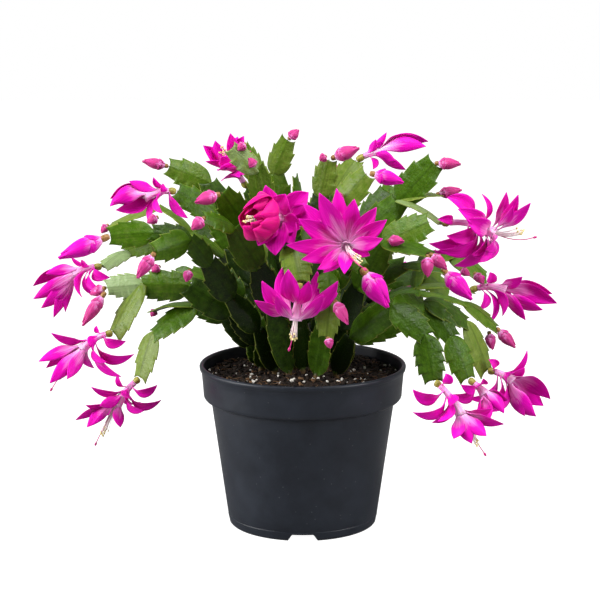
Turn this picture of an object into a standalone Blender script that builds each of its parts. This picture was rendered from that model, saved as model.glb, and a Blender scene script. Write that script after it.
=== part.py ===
"""Potted Christmas cactus in flower: a nursery pot, its potting mix, and the rooted stems with their buds
and flowers. Metres, +Z up, origin at the centre of the pot's foot, -Y to the front."""

import math

import bpy
from mathutils import Matrix, Vector

MM = 0.001
GAP = 0.3 * MM                      # kept between pieces that touch

# The pot: a six-inch azalea pot. Heights and radii in millimetres.
POT_HEIGHT = 120.0
FOOT_RADIUS = 54.8
BODY_TOP_RADIUS = 67.4              # just under the collar
BODY_TOP_Z = 92.0
COLLAR_FOOT_RADIUS = 73.1
COLLAR_FOOT_Z = 99.5
COLLAR_TOP_RADIUS = 74.6
LIP_RADIUS = 76.0
LIP_BOTTOM_Z = 116.5
WALL = 1.8
FLOOR = 2.0
POT_SIDES = 40
NOTCH_COUNT = 4
NOTCH_WIDTH = 21.5                  # at the foot; it narrows upwards
NOTCH_TOP_WIDTH = 16.5
NOTCH_HEIGHT = 5.2
NOTCH_REACH = (44.0, 60.0)          # radii between which a notch is cut
NOTCH_CLEAR_Z = 7.0                 # the wall is whole from here up

# The potting mix: a plug that fills the pot, mounded towards the middle.
SOIL_EDGE_Z = 111.0
SOIL_CROWN = 4.5
SOIL_RINGS = 4
SOCKET_RADIUS = 3.9                 # hole for the woody foot of a stem
SOCKET_DEPTH = 12.6

# Stems. A segment's half width and half thickness run along its length, as shares of the full ones.
FOOT_DEPTH = 12.0                   # of the stem below the surface of the mix
FOOT_STUB = 4.0                     # above it
FOOT_HALF_WIDTH = 2.9
FOOT_HALF_THICKNESS = 2.2
NECK_HALF_WIDTH = 2.7
NECK_HALF_THICKNESS = 1.7
SEGMENT_THICKNESS = 3.6
SEGMENT_WIDTH_SHARE = 0.62          # of the length
SEGMENT_WIDTHS = (15.0, 23.5)       # narrowest and widest
YOUNG_WIDTHS = (0.74, 0.86)         # of the first segments above the root, as shares of that
SEGMENT_PROFILE = (                 # along, half width, half thickness
    (0.08, 0.56, 0.90),
    (0.30, 0.90, 1.00),
    (0.52, 1.06, 0.96),
    (0.57, 0.84, 0.96),
    (0.83, 1.05, 0.86),
    (0.95, 0.66, 0.70),
)
BRANCH_NECK = 0.82                  # a side branch starts a little thinner than the neck it leaves,
BRANCH_ROOT = 1.0                   # and this far behind the joint, inside that neck

# Each stem: chains of joints. The first chain starts with its root (x, y) and every later one with a joint
# of an earlier chain. A joint is (x, y, z, turn) in millimetres and degrees: the turn is that of the segment
# which ends there, 0 with its flat side to the front and 90 with it upwards, its edge to the front.
STEMS = {
    "stem_left_rear": (
        ((-22, 20), (-23, 30, 148, 60), (-39, 40, 181, 50), (-53, 48, 213, 30), (-70, 54, 246, 20),
         (-100, 56, 258, 5)),
        ((-53, 48, 213), (-80, 44, 210, 40), (-106, 34, 205, 30), (-130, 24, 199, 30), (-146, 6, 191, 45)),
    ),
    "stem_left_upper": (
        ((-14, 2), (-26, 2, 150, 30), (-39, 0, 178, 30), (-51, -2, 206, 20), (-64, -4, 232, 20),
         (-90, -10, 249, 20)),
        ((-39, 0, 178), (-59, 10, 197, 60), (-82, 20, 214, 70), (-105, 26, 232, 75), (-141, 28, 219, 75)),
    ),
    "stem_left_front": (
        ((-20, -16), (-32, -26, 150, 30), (-51, -38, 176, 20), (-66, -50, 203, 10), (-79, -58, 222, 10),
         (-105, -64, 228, 10), (-134, -66, 226, 0)),
        ((-79, -58, 222), (-102, -78, 217, -20)),
    ),
    "stem_left_mid": (
        ((-30, -6), (-31, -16, 139, 20), (-50, -26, 163, 10), (-81, -34, 184, 10), (-115, -38, 186, 0),
         (-140, -28, 182, -10)),
        ((-115, -38, 186), (-135, -38, 151, 50)),
        ((-31, -16, 139), (-46, -8, 167, 20), (-64, -14, 194, 10)),
    ),
    "stem_left_low": (
        ((-34, 12), (-39, 14, 130, 30), (-57, 18, 150, 20), (-80, 20, 159, 20), (-111, 20, 138, 45),
         (-121, 18, 105, 45)),
        ((-80, 20, 159), (-110, 32, 153, 80)),
    ),
    "stem_front_left": (
        ((-10, -22), (-21, -36, 166, 20), (-32, -52, 201, 10), (-48, -64, 231, 10), (-67, -76, 241, 45)),
        ((-32, -52, 201), (-42, -42, 232, 10), (-56, -60, 255, 0)),
    ),
    "stem_top_left": (
        ((-14, 34), (-22, 44, 146, 40), (-29, 54, 180, 30), (-33, 58, 214, 20), (-32, 60, 247, 10),
         (-45, 62, 271, 0)),
        ((-33, 58, 214), (-41, 38, 244, 60)),
    ),
    "stem_top_mid": (
        ((-2, 14), (-8, 18, 150, 60), (-12, 20, 184, 50), (-17, 22, 222, 30), (-21, 22, 257, 10),
         (-11, 22, 282, 0)),
        ((-17, 22, 222), (-27, 2, 237, 30), (-34, -6, 265, 10)),
        ((-12, 20, 184), (-1, 26, 218, 70), (-5, 24, 254, 75)),
    ),
    "stem_top_right": (
        ((8, 4), (2, 6, 150, 70), (8, 8, 181, 50), (10, 8, 212, 30), (13, 8, 242, 10), (19, 8, 269, 10)),
        ((10, 8, 212), (23, 30, 239, 40), (39, 42, 264, 30)),
    ),
    "stem_right_top": (
        ((14, -12), (13, -16, 147, 60), (18, -18, 177, 50), (21, -18, 208, 30), (24, -18, 237, 20),
         (45, -22, 263, 20)),
    ),
    "stem_right_upper": (
        ((22, 14), (26, 14, 146, 30), (35, 12, 178, 30), (43, 12, 210, 20), (70, 16, 238, 15),
         (96, 22, 265, 0)),
        ((70, 16, 238), (98, 34, 240, 70)),
        ((70, 16, 238), (100, 0, 224, 75)),
        ((43, 12, 210), (63, 32, 242, 10)),
    ),
    "stem_right_front": (
        ((26, -8), (28, -18, 150, 30), (40, -30, 182, 30), (57, -44, 217, 20), (87, -60, 213, 60)),
        ((40, -30, 182), (72, -36, 200, 40), (98, -44, 199, 60)),
        ((57, -44, 217), (89, -38, 231, 10)),
    ),
    "stem_right_mid": (
        ((32, 6), (35, 8, 140, 20), (56, 12, 161, 30), (84, 16, 173, 60), (123, 22, 170, 80)),
        ((84, 16, 173), (87, 32, 190, 60), (110, 42, 194, 50), (138, 48, 176, 45)),
        ((56, 12, 161), (86, -2, 172, 60), (117, -4, 166, 75), (141, -6, 148, 60)),
        ((35, 8, 140), (73, -6, 153, 20)),
    ),
    "stem_right_low": (
        ((24, -24), (34, -36, 147, 20), (64, -52, 173, 20), (86, -66, 155, 10), (92, -72, 124, 0)),
        ((64, -52, 173), (87, -36, 172, 20), (106, -44, 149, 10), (118, -44, 119, 25)),
        ((87, -36, 172), (118, -26, 156, 50), (133, -24, 120, 50)),
    ),
    "stem_front_mid": (
        ((0, -14), (-1, -26, 153, 40), (-3, -46, 188, 30), (-8, -64, 221, 30), (-2, -86, 198, 0)),
        ((-3, -46, 188), (-1, -42, 207, 60), (2, -46, 228, 60)),
    ),
    "stem_front_right": (
        ((10, -28), (14, -44, 154, 30), (23, -56, 186, 30), (30, -50, 212, 30), (41, -62, 203, 0)),
        ((23, -56, 186), (17, -76, 202, 40), (19, -90, 185, 20), (16, -92, 160, 0)),
    ),
    "stem_back_left": (
        ((-27, 38), (-36, 56, 144, 40), (-44, 80, 172, 30), (-50, 106, 188, 20), (-52, 132, 186, 10),
         (-54, 152, 166, 0)),
        ((-44, 80, 172), (-60, 86, 204, 20), (-74, 100, 232, 10)),
        ((-36, 56, 144), (-62, 66, 166, 20), (-86, 80, 174, 30), (-104, 92, 156, 20)),
    ),
    "stem_back_mid": (
        ((-2, 44), (-6, 62, 148, 20), (-8, 84, 180, 10), (-10, 104, 208, 0), (-8, 132, 214, 0),
         (-6, 156, 196, 0)),
        ((-8, 84, 180), (12, 96, 210, -20), (22, 112, 238, -10)),
        ((-6, 62, 148), (-16, 72, 186, 25), (-27, 83, 222, 30), (-34, 98, 250, 20)),
        ((-6, 62, 148), (8, 88, 160, 20), (16, 118, 166, 10), (20, 140, 146, 0)),
    ),
    "stem_back_right": (
        ((24, 34), (34, 52, 146, 30), (44, 76, 174, 30), (56, 100, 190, 20), (62, 126, 188, 10),
         (64, 146, 168, 0)),
        ((44, 76, 174), (58, 80, 208, 30), (68, 92, 238, 20)),
        ((34, 52, 146), (62, 58, 168, 40), (90, 66, 176, 30), (112, 76, 158, 30)),
    ),
}

# Flowers and buds grow from the end of a segment: (base), (far end) and how far the middle arches up, in
# millimetres. Both are turned shapes with star-shaped rings: (along, radius) of the valleys, then of the tips.
OPEN_FLOWERS = {
    "flower_left_side": ((-146, 6, 191), (-188, -4, 166), 5),
    "flower_left_middle": ((-135, -38, 151), (-179, -48, 114), 6),
    "flower_left_bottom": ((-121, 18, 105), (-155, 10, 55), 3),
    "flower_top_left": ((-41, 38, 244), (-58, 26, 282), 0),
    "flower_front_red": ((2, -46, 228), (-34, -86, 245), 4),
    "flower_front_big": ((33, -58, 217), (40, -118, 220), 4),
    "flower_front_hanging": ((-2, -86, 198), (-9, -94, 154), 0),
    "flower_right_top": ((100, 0, 224), (168, -16, 215), 4),
    "flower_right_bottom": ((92, -72, 124), (129, -80, 73), 4),
    "flower_right_inner": ((118, -45, 119), (140, -56, 97), 2),
    "flower_right_low": ((133, -24, 120), (177, -32, 98), 6),
    "flower_back_left": ((-54, 152, 166), (-60, 184, 132), 4),
    "flower_back_right": ((64, 146, 168), (72, 178, 134), 4),
    "flower_back_middle": ((-6, 156, 196), (-2, 192, 168), 5),
}
HALF_OPEN_FLOWERS = {
    "flower_left_top": ((-90, -10, 249), (-139, -22, 239), 3),
    "flower_top_right": ((39, 42, 264), (93, 40, 279), 3),
    "flower_right_side": ((123, 22, 170), (188, 14, 164), 6),
}
BUDS = {                            # the last number is the greatest width
    "bud_left_peak": ((-100, 56, 258), (-120, 52, 263), 7.5),
    "bud_left_large": ((-134, -66, 226), (-170, -74, 212), 12),
    "bud_left_upper": ((-57, -61, 255), (-75, -68, 250), 9),
    "bud_left_inner": ((-67, -76, 241), (-77, -80, 233), 8),
    "bud_left_pointed": ((-102, -78, 217), (-115, -82, 199), 8.5),
    "bud_left_pale": ((-141, -27, 182), (-154, -18, 175), 7),
    "bud_left_long": ((-141, -31, 180), (-158, -38, 156), 8.5),
    "bud_top_middle": ((-11, 22, 282), (-3, 22, 290), 7),
    "bud_top_left": ((-34, -6, 265), (-39, -8, 273), 6.5),
    "bud_top_right": ((20, 8, 270), (41, 4, 279), 9.5),
    "bud_top_large": ((47, -22, 264), (72, -26, 258), 10),
    "bud_right_peak": ((96, 22, 265), (116, 20, 265), 8),
    "bud_right_upper": ((98, 34, 240), (118, 34, 244), 7.5),
    "bud_right_small": ((59, -50, 220), (71, -58, 221), 7),
    "bud_right_hanging": ((87, -62, 213), (87, -68, 197), 8),
    "bud_right_sloping": ((88, -60, 213), (101, -64, 202), 8),
    "bud_right_large": ((98, -44, 199), (120, -52, 178), 12),
    "bud_right_low": ((141, -6, 148), (156, -6, 133), 8),
    "bud_front_small": ((21, -94, 187), (31, -104, 171), 8),
    "bud_front_large": ((41, -62, 203), (60, -70, 176), 15),
    "bud_back": ((22, 112, 238), (28, 124, 250), 9),
}
BASE_CLEARANCE = 1.5                # from the end of the segment to the flower's own end
FLOWER_PETALS = 6
OPEN_PROFILE = (                    # along and radius in the valleys, along and radius at the petal tips
    (0.00, 1.3, 0.00, 1.3),
    (0.12, 2.6, 0.12, 2.6),
    (0.22, 3.2, 0.22, 3.2),
    (0.20, 6.5, 0.10, 16.0),
    (0.27, 3.4, 0.27, 3.8),
    (0.42, 4.0, 0.42, 4.2),
    (0.41, 10.0, 0.34, 23.0),
    (0.49, 4.4, 0.49, 4.8),
    (0.62, 5.0, 0.62, 5.6),
    (0.68, 9.0, 0.76, 19.0),
    (0.66, 2.6, 0.68, 3.4),
    (1.00, 0.8, 1.00, 0.8),
)
HALF_OPEN_PROFILE = (
    (0.00, 1.3, 0.00, 1.3),
    (0.12, 2.6, 0.12, 2.6),
    (0.20, 3.2, 0.20, 3.2),
    (0.22, 6.0, 0.20, 14.0),
    (0.27, 3.6, 0.27, 4.0),
    (0.40, 4.4, 0.40, 4.6),
    (0.47, 7.5, 0.56, 13.0),
    (0.50, 6.0, 0.52, 6.4),
    (0.68, 8.0, 0.68, 8.4),
    (0.84, 5.4, 0.84, 6.0),
    (1.00, 0.6, 1.00, 0.6),
)
BUD_SIDES = 6
BUD_PROFILE = (                     # along, share of the greatest radius
    (0.00, 0.34),
    (0.16, 0.50),
    (0.34, 0.86),
    (0.54, 1.00),
    (0.80, 0.62),
    (1.00, 0.10),
)


def clear_scene():
    for old in list(bpy.data.objects):
        bpy.data.objects.remove(old, do_unlink=True)


def make_material(name, colour, roughness):
    material = bpy.data.materials.new(name)
    material.use_nodes = True
    shader = material.node_tree.nodes["Principled BSDF"]
    shader.inputs["Base Color"].default_value = (*colour, 1.0)
    shader.inputs["Roughness"].default_value = roughness
    shader.inputs["Metallic"].default_value = 0.0
    return material


def add_object(name, points, faces, material, smooth_angle=35.0):
    """An object from points in millimetres."""
    mesh = bpy.data.meshes.new(name)
    mesh.from_pydata([Vector(p) * MM for p in points], [], faces)
    mesh.update()
    mesh.shade_smooth()
    mesh.set_sharp_from_angle(angle=math.radians(smooth_angle))
    mesh.materials.append(material)
    thing = bpy.data.objects.new(name, mesh)
    bpy.context.scene.collection.objects.link(thing)
    return thing


def hide_guide(thing):
    thing.hide_render = True
    thing.display_type = "WIRE"


def combine(thing, guide, operation):
    hide_guide(guide)
    modifier = thing.modifiers.new(guide.name, "BOOLEAN")
    modifier.operation = operation
    modifier.solver = "EXACT"
    modifier.object = guide


def skin_rings(rings):
    """Points and faces of a closed skin over rings of equal length, each end closed by a fan."""
    sides = len(rings[0])
    points = [p for ring in rings for p in ring]
    faces = []
    for level in range(len(rings) - 1):
        low, high = level * sides, (level + 1) * sides
        for i in range(sides):
            j = (i + 1) % sides
            faces.append((low + i, low + j, high + j, high + i))
    for ring, start, outward in ((rings[0], 0, False), (rings[-1], (len(rings) - 1) * sides, True)):
        centre = len(points)
        points.append(sum((Vector(p) for p in ring), Vector()) / sides)
        for i in range(sides):
            a, b = start + i, start + (i + 1) % sides
            faces.append((a, b, centre) if outward else (b, a, centre))
    return points, faces


def turned(profile, sides):
    """Rings around Z for a profile of (radius, z)."""
    angles = [math.tau * i / sides for i in range(sides)]
    return [[Vector((r * math.cos(a), r * math.sin(a), z)) for a in angles] for r, z in profile]


def arc(centre, radius, start, end, steps):
    """Points (radius, z) of an arc, with its angles in degrees from the outward direction."""
    angles = [math.radians(start + (end - start) * i / steps) for i in range(steps + 1)]
    return [(centre[0] + radius * math.cos(a), centre[1] + radius * math.sin(a)) for a in angles]


# ---- pot and potting mix

def inner_radius(z):
    """Radius of the pot's inner face at a height."""
    levels = (
        (FLOOR, FOOT_RADIUS - WALL),
        (BODY_TOP_Z, BODY_TOP_RADIUS - WALL),
        (COLLAR_FOOT_Z, COLLAR_FOOT_RADIUS - WALL),
        (POT_HEIGHT, COLLAR_TOP_RADIUS - WALL),
    )
    for (z0, r0), (z1, r1) in zip(levels, levels[1:]):
        if z <= z1:
            return r0 + (r1 - r0) * (z - z0) / (z1 - z0)
    return levels[-1][1]


def pot_profile():
    foot_round = 2.2
    lip_round = (LIP_RADIUS - COLLAR_TOP_RADIUS + WALL) / 2
    lip_centre = (LIP_RADIUS - lip_round, POT_HEIGHT - lip_round)
    notch_clear_radius = inner_radius(NOTCH_CLEAR_Z) + WALL
    outside = [(1.0, 0.0), (FOOT_RADIUS - foot_round, 0.0)]
    outside += arc((FOOT_RADIUS - foot_round, foot_round), foot_round, -60, 0, 2)
    outside += [
        (notch_clear_radius, NOTCH_CLEAR_Z),
        (BODY_TOP_RADIUS, BODY_TOP_Z),
        (COLLAR_FOOT_RADIUS - 2.4, COLLAR_FOOT_Z - 5.5),
        (COLLAR_FOOT_RADIUS - 0.5, COLLAR_FOOT_Z - 2.8),
        (COLLAR_FOOT_RADIUS, COLLAR_FOOT_Z),
        (COLLAR_TOP_RADIUS, LIP_BOTTOM_Z - 0.8),
        (LIP_RADIUS, LIP_BOTTOM_Z + 0.6),
    ]
    outside += arc(lip_centre, lip_round, 0, 180, 4)
    inside = [
        (inner_radius(COLLAR_FOOT_Z), COLLAR_FOOT_Z),
        (inner_radius(BODY_TOP_Z), BODY_TOP_Z),
        (inner_radius(NOTCH_CLEAR_Z), NOTCH_CLEAR_Z),
        (inner_radius(FLOOR), FLOOR),
        (1.0, FLOOR),
    ]
    return outside + inside


def make_pot(material):
    points, faces = skin_rings(turned(pot_profile(), POT_SIDES))
    pot = add_object("pot", points, faces, material)
    near, far = NOTCH_REACH
    wide, narrow = NOTCH_WIDTH / 2, NOTCH_TOP_WIDTH / 2
    outline = ((-wide, -1.0), (wide, -1.0), (wide, 0.6), (narrow, NOTCH_HEIGHT), (-narrow, NOTCH_HEIGHT),
               (-wide, 0.6))
    for n in range(NOTCH_COUNT):
        spin = Matrix.Rotation(math.tau * n / NOTCH_COUNT, 3, "Z")
        rings = [[spin @ Vector((x, y, z)) for x, z in outline] for y in (-near, -far)]
        combine(pot, add_object(f"notch_{n + 1}", *skin_rings(rings), material), "DIFFERENCE")
    return pot


def soil_height(x, y):
    reach = math.hypot(x, y) / inner_radius(SOIL_EDGE_Z)
    return SOIL_EDGE_Z + SOIL_CROWN * (1.0 - reach * reach)


def make_soil(material):
    gap = GAP / MM
    edge = inner_radius(SOIL_EDGE_Z) - gap
    profile = [
        (1.0, FLOOR + gap),
        (inner_radius(FLOOR) - gap, FLOOR + gap),
        (inner_radius(BODY_TOP_Z) - gap, BODY_TOP_Z),
        (inner_radius(COLLAR_FOOT_Z) - gap, COLLAR_FOOT_Z + gap),
    ]
    for n in range(SOIL_RINGS):
        radius = edge + (1.0 - edge) * n / (SOIL_RINGS - 1)
        profile.append((radius, soil_height(radius, 0.0)))
    soil = add_object("potting_mix", *skin_rings(turned(profile, POT_SIDES)), material)
    for name, chains in STEMS.items():
        x, y = chains[0][0]
        top = soil_height(x, y)
        rings = turned(((SOCKET_RADIUS, top - SOCKET_DEPTH), (SOCKET_RADIUS, top + 2.0)), BUD_SIDES)
        shifted = [[p + Vector((x, y, 0.0)) for p in ring] for ring in rings]
        combine(soil, add_object(f"socket_of_{name}", *skin_rings(shifted), material), "DIFFERENCE")
    return soil


# ---- stems

def segment_axes(start, end, turn):
    """Length direction, width direction and flat side's normal of a segment."""
    along = (end - start).normalized()
    front = Vector((0.0, -1.0, 0.25))
    front = (front - front.dot(along) * along).normalized()
    upward = front.cross(along)
    if upward.z < 0.0:
        upward = -upward
    normal = front * math.cos(math.radians(turn)) + upward * math.sin(math.radians(turn))
    return along, normal.cross(along), normal


def flat_ring(centre, width_axis, normal, half_width, half_thickness):
    return [
        centre + width_axis * half_width,
        centre + normal * half_thickness,
        centre - width_axis * half_width,
        centre - normal * half_thickness,
    ]


def segment_rings(start, end, axes, width_share):
    along, width_axis, normal = axes
    length = (end - start).length
    width = min(max(SEGMENT_WIDTH_SHARE * length, SEGMENT_WIDTHS[0]), SEGMENT_WIDTHS[1]) * width_share
    return [
        flat_ring(start.lerp(end, s), width_axis, normal, width / 2 * w, SEGMENT_THICKNESS / 2 * t)
        for s, w, t in SEGMENT_PROFILE
    ]


def joint_ring(centre, before, after, share=1.0):
    """The narrow neck between two segments, turned half way between them."""
    along = (before[0] + after[0]).normalized()
    normal = before[2] + after[2]
    normal = (normal - normal.dot(along) * along).normalized()
    return flat_ring(centre, normal.cross(along), normal, NECK_HALF_WIDTH * share, NECK_HALF_THICKNESS * share)


def foot_rings(x, y, axes):
    """The woody foot of a rooted stem, from its lower end to just below the surface of the mix."""
    up = Vector((0.0, 0.0, 1.0))
    normal = Vector((axes[2].x, axes[2].y, 0.0)).normalized()
    top = soil_height(x, y)
    heights = (top - FOOT_DEPTH, top - 1.0)
    return [
        flat_ring(Vector((x, y, z)), normal.cross(up), normal, FOOT_HALF_WIDTH, FOOT_HALF_THICKNESS)
        for z in heights
    ]


def chain_rings(chain):
    rooted = len(chain[0]) == 2
    if rooted:
        x, y = chain[0]
        first = Vector((x, y, soil_height(x, y) + FOOT_STUB))
    else:
        first = Vector(chain[0])
        first += (first - Vector(chain[1][:3])).normalized() * BRANCH_ROOT
    joints = [first] + [Vector(j[:3]) for j in chain[1:]]
    turns = [j[3] for j in chain[1:]]
    axes = [segment_axes(a, b, t) for a, b, t in zip(joints, joints[1:], turns)]
    if rooted:
        upright = (Vector((0.0, 0.0, 1.0)), *axes[0][1:])
        rings = foot_rings(x, y, axes[0]) + [joint_ring(first, upright, axes[0])]
    else:
        rings = [joint_ring(first, axes[0], axes[0], BRANCH_NECK)]
    for n, (start, end) in enumerate(zip(joints, joints[1:])):
        share = YOUNG_WIDTHS[n] if rooted and n < len(YOUNG_WIDTHS) else 1.0
        rings += segment_rings(start, end, axes[n], share)
        if n + 1 < len(axes):
            rings.append(joint_ring(end, axes[n], axes[n + 1]))
    rings.append(joint_ring(joints[-1], axes[-1], axes[-1], BRANCH_NECK))
    return rings


def make_stem(name, chains, material):
    stem = add_object(name, *skin_rings(chain_rings(chains[0])), material)
    for n, chain in enumerate(chains[1:], start=1):
        branch = add_object(f"{name}_branch_{n}", *skin_rings(chain_rings(chain)), material)
        combine(stem, branch, "UNION")
    return stem


# ---- flowers and buds

def arched_axis(base, end, arch):
    """A point and a frame at each share of the way along a gently arched line."""
    start, finish = Vector(base), Vector(end)
    start = start + (finish - start).normalized() * BASE_CLEARANCE
    middle = (start + finish) / 2 + Vector((0.0, 0.0, 2.0 * arch))

    def at(share):
        point = start * (1 - share) ** 2 + middle * 2 * share * (1 - share) + finish * share ** 2
        along = (middle - start) * (1 - share) + (finish - middle) * share
        along.normalize()
        side = along.cross(Vector((0.0, 0.2, 1.0))).normalized()
        return point, side, along.cross(side)

    return at


def star_rings(at, profile, petals):
    sides = petals * 2
    rings = []
    for valley_s, valley_r, tip_s, tip_r in profile:
        ring = []
        for i in range(sides):
            share, radius = (tip_s, tip_r) if i % 2 == 0 else (valley_s, valley_r)
            point, side, up = at(share)
            angle = math.tau * i / sides
            ring.append(point + side * (radius * math.cos(angle)) + up * (radius * math.sin(angle)))
        rings.append(ring)
    return rings


def make_flower(name, place, profile, material):
    base, end, arch = place
    rings = star_rings(arched_axis(base, end, arch), profile, FLOWER_PETALS)
    return add_object(name, *skin_rings(rings), material)


def make_bud(name, place, material):
    base, end, width = place
    at = arched_axis(base, end, 0.0)
    profile = [(s, r * width / 2, s, r * width / 2) for s, r in BUD_PROFILE]
    return add_object(name, *skin_rings(star_rings(at, profile, BUD_SIDES // 2)), material)


def main():
    clear_scene()
    make_pot(make_material("charcoal_plastic", (0.035, 0.037, 0.042), 0.5))
    make_soil(make_material("peat_mix", (0.03, 0.018, 0.012), 0.95))
    green = make_material("cactus_green", (0.10, 0.20, 0.035), 0.45)
    for name, chains in STEMS.items():
        make_stem(name, chains, green)
    magenta = make_material("magenta_petal", (0.75, 0.01, 0.42), 0.4)
    for name, place in OPEN_FLOWERS.items():
        make_flower(name, place, OPEN_PROFILE, magenta)
    for name, place in HALF_OPEN_FLOWERS.items():
        make_flower(name, place, HALF_OPEN_PROFILE, magenta)
    pink = make_material("pink_bud", (0.62, 0.03, 0.25), 0.4)
    for name, place in BUDS.items():
        make_bud(name, place, pink)


main()
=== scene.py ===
import math
import random

import bmesh
import bpy
import numpy as np
from mathutils import Matrix, Vector, noise


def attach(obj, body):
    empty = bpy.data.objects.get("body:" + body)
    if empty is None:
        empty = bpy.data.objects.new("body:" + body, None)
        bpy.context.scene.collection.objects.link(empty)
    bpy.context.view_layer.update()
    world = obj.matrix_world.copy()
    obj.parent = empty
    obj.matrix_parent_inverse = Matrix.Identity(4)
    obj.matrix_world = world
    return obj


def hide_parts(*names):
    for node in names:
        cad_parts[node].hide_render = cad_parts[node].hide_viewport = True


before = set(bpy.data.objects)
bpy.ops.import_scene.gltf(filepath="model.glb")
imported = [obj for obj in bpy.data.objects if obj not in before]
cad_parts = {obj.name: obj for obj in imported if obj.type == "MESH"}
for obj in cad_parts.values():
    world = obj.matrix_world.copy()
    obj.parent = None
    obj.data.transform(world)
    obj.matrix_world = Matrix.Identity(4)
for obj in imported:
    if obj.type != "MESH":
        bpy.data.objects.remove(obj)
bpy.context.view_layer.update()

# A Christmas cactus in flower, in its nursery pot. Everything below is in millimetres until a mesh is made.
mm = 0.001
up = np.array((0.0, 0.0, 1.0))
front = np.array((0.0, -1.0, 0.0))
right = np.array((1.0, 0.0, 0.0))


# ---- small tools

def unit(v):
    return v / np.linalg.norm(v)


def units(rows):
    return rows / np.linalg.norm(rows, axis=1)[:, None]


def smooth(x, low=0.0, high=1.0):
    t = np.clip((np.asarray(x, float) - low) / (high - low), 0.0, 1.0)
    return t * t * (3.0 - 2.0 * t)


def turns(count):
    return np.arange(count) * math.tau / count


# Points at shares s of a curve from start to finish, drawn towards middle.
def curve(start, middle, finish, s):
    return start * (1 - s) ** 2 + middle * 2 * s * (1 - s) + finish * s * s


def rgb(hexColour):  # sRGB hex to linear
    parts = [int(hexColour[i:i + 2], 16) / 255 for i in (1, 3, 5)]
    return (*[c / 12.92 if c <= 0.04045 else ((c + 0.055) / 1.055) ** 2.4 for c in parts], 1.0)


def link(name, data):
    item = bpy.data.objects.new(name, data)
    bpy.context.scene.collection.objects.link(item)
    return item


# Points, faces and two vectors on every point that the materials read:
# look = share of the length, share of the half width, tone; way = millimetres across, along, and a seed.
class Heap:
    def __init__(self):
        self.points, self.faces, self.skins, self.look, self.way = [], [], [], [], []
        self.count = 0

    def add(self, points, faces, look, way, skin=0):
        self.points.append(points)
        self.faces += [tuple(i + self.count for i in face) for face in faces]
        self.skins += [skin] * len(faces)
        self.look.append(look)
        self.way.append(way)
        self.count += len(points)

    def mesh(self, name):
        mesh = bpy.data.meshes.new(name)
        mesh.from_pydata((np.concatenate(self.points) * mm).tolist(), [], self.faces)
        return mesh

    def make(self, name, materials, slot, *nodes):
        mesh = self.mesh(name)
        for material in materials:
            mesh.materials.append(material)
        mesh.polygons.foreach_set("material_index", self.skins)
        for mark, values in (("look", self.look), ("way", self.way)):
            layer = mesh.attributes.new(mark, "FLOAT_VECTOR", "POINT")
            layer.data.foreach_set("vector", np.concatenate(values).astype(np.float32).ravel())
        shape = bmesh.new()
        shape.from_mesh(mesh)
        bmesh.ops.recalc_face_normals(shape, faces=shape.faces)
        shape.to_mesh(mesh)
        shape.free()
        mesh.shade_smooth()
        piece = link(name, mesh)
        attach(piece, "root")
        if nodes:
            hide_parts(*nodes)
        return piece


# Quads between neighbouring rows of a grid that is closed round.
def bands(rows, around):
    index = np.arange(rows * around).reshape(rows, around)
    a, b = index[:-1], index[1:]
    return index, np.stack([a, np.roll(a, -1, 1), np.roll(b, -1, 1), b], -1).reshape(-1, 4).tolist()


# A skin over rings of (rows, around, 3) points, closed round, each end closed by a fan.
def addSkin(heap, rings, look=None, way=None, skin=0):
    look = np.zeros(rings.shape) if look is None else look
    way = rings if way is None else way
    rows, around = rings.shape[:2]
    index, faces = bands(rows, around)
    middle = rows * around
    for ring, centre in ((index[0][::-1], middle), (index[-1], middle + 1)):
        faces += [(ring[i], ring[(i + 1) % around], centre) for i in range(around)]
    ends = [np.stack([grid[0].mean(0), grid[-1].mean(0)]) for grid in (rings, look, way)]
    grids = [np.concatenate([grid.reshape(-1, 3), end]) for grid, end in zip((rings, look, way), ends)]
    heap.add(grids[0], faces, grids[1], grids[2], skin)


# A thin closed blade between two grids of (rows, columns, 3) points.
def addBlade(heap, over, under, look, way, skin=0):
    rows, columns = over.shape[:2]
    around = 2 * columns
    index, faces = bands(rows, around)
    for ring in (index[0][::-1], index[-1]):
        back = ring[::-1]
        faces += [(ring[i], ring[i + 1], back[i + 1], back[i]) for i in range(columns - 1)]
    pairs = (over, under), (look, look), (way, way)
    grids = [np.concatenate([g, h[:, ::-1]], 1).reshape(-1, 3) for g, h in pairs]
    heap.add(grids[0], faces, grids[1], grids[2], skin)


# Rings of a round rod along a list of points, with a radius at each.
def addRod(heap, path, radii, sides=6, skin=0, tone=0.5):
    path = np.asarray(path, float)
    along = units(np.gradient(path, axis=0))
    first = units(np.cross(along, right if abs(along[0] @ right) < 0.8 else up))
    second = np.cross(along, first)
    turn = turns(sides)
    ring = first[:, None] * np.cos(turn)[None, :, None] + second[:, None] * np.sin(turn)[None, :, None]
    rings = path[:, None] + ring * np.asarray(radii, float)[:, None, None]
    look = np.zeros(rings.shape)
    look[..., 0] = np.linspace(0.0, 1.0, len(rings))[:, None]
    look[..., 2] = tone
    addSkin(heap, rings, look, None, skin)


# ---- materials

# One output of a new node, with its sockets (a value or a link each), its settings and a ramp's stops.
def addNode(tree, kind, out, sockets, stops=(), **settings):
    node = tree.nodes.new("ShaderNode" + kind)
    for name, value in settings.items():
        setattr(node, name, value)
    if stops:
        ramp = node.color_ramp.elements
        while len(ramp) < len(stops):
            ramp.new(1.0)
        for stop, (place, colour) in zip(ramp, stops):
            stop.position = place
            stop.color = rgb(colour)
    for name, value in sockets.items():
        if isinstance(value, bpy.types.NodeSocket):
            tree.links.new(value, node.inputs[name])
        else:
            node.inputs[name].default_value = value
    return node.outputs[out]


def addNoise(tree, vector, scale, detail, roughness=0.5):
    return addNode(tree, "TexNoise", "Fac", {
        "Vector": vector, "Scale": scale, "Detail": detail, "Roughness": roughness})


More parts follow.
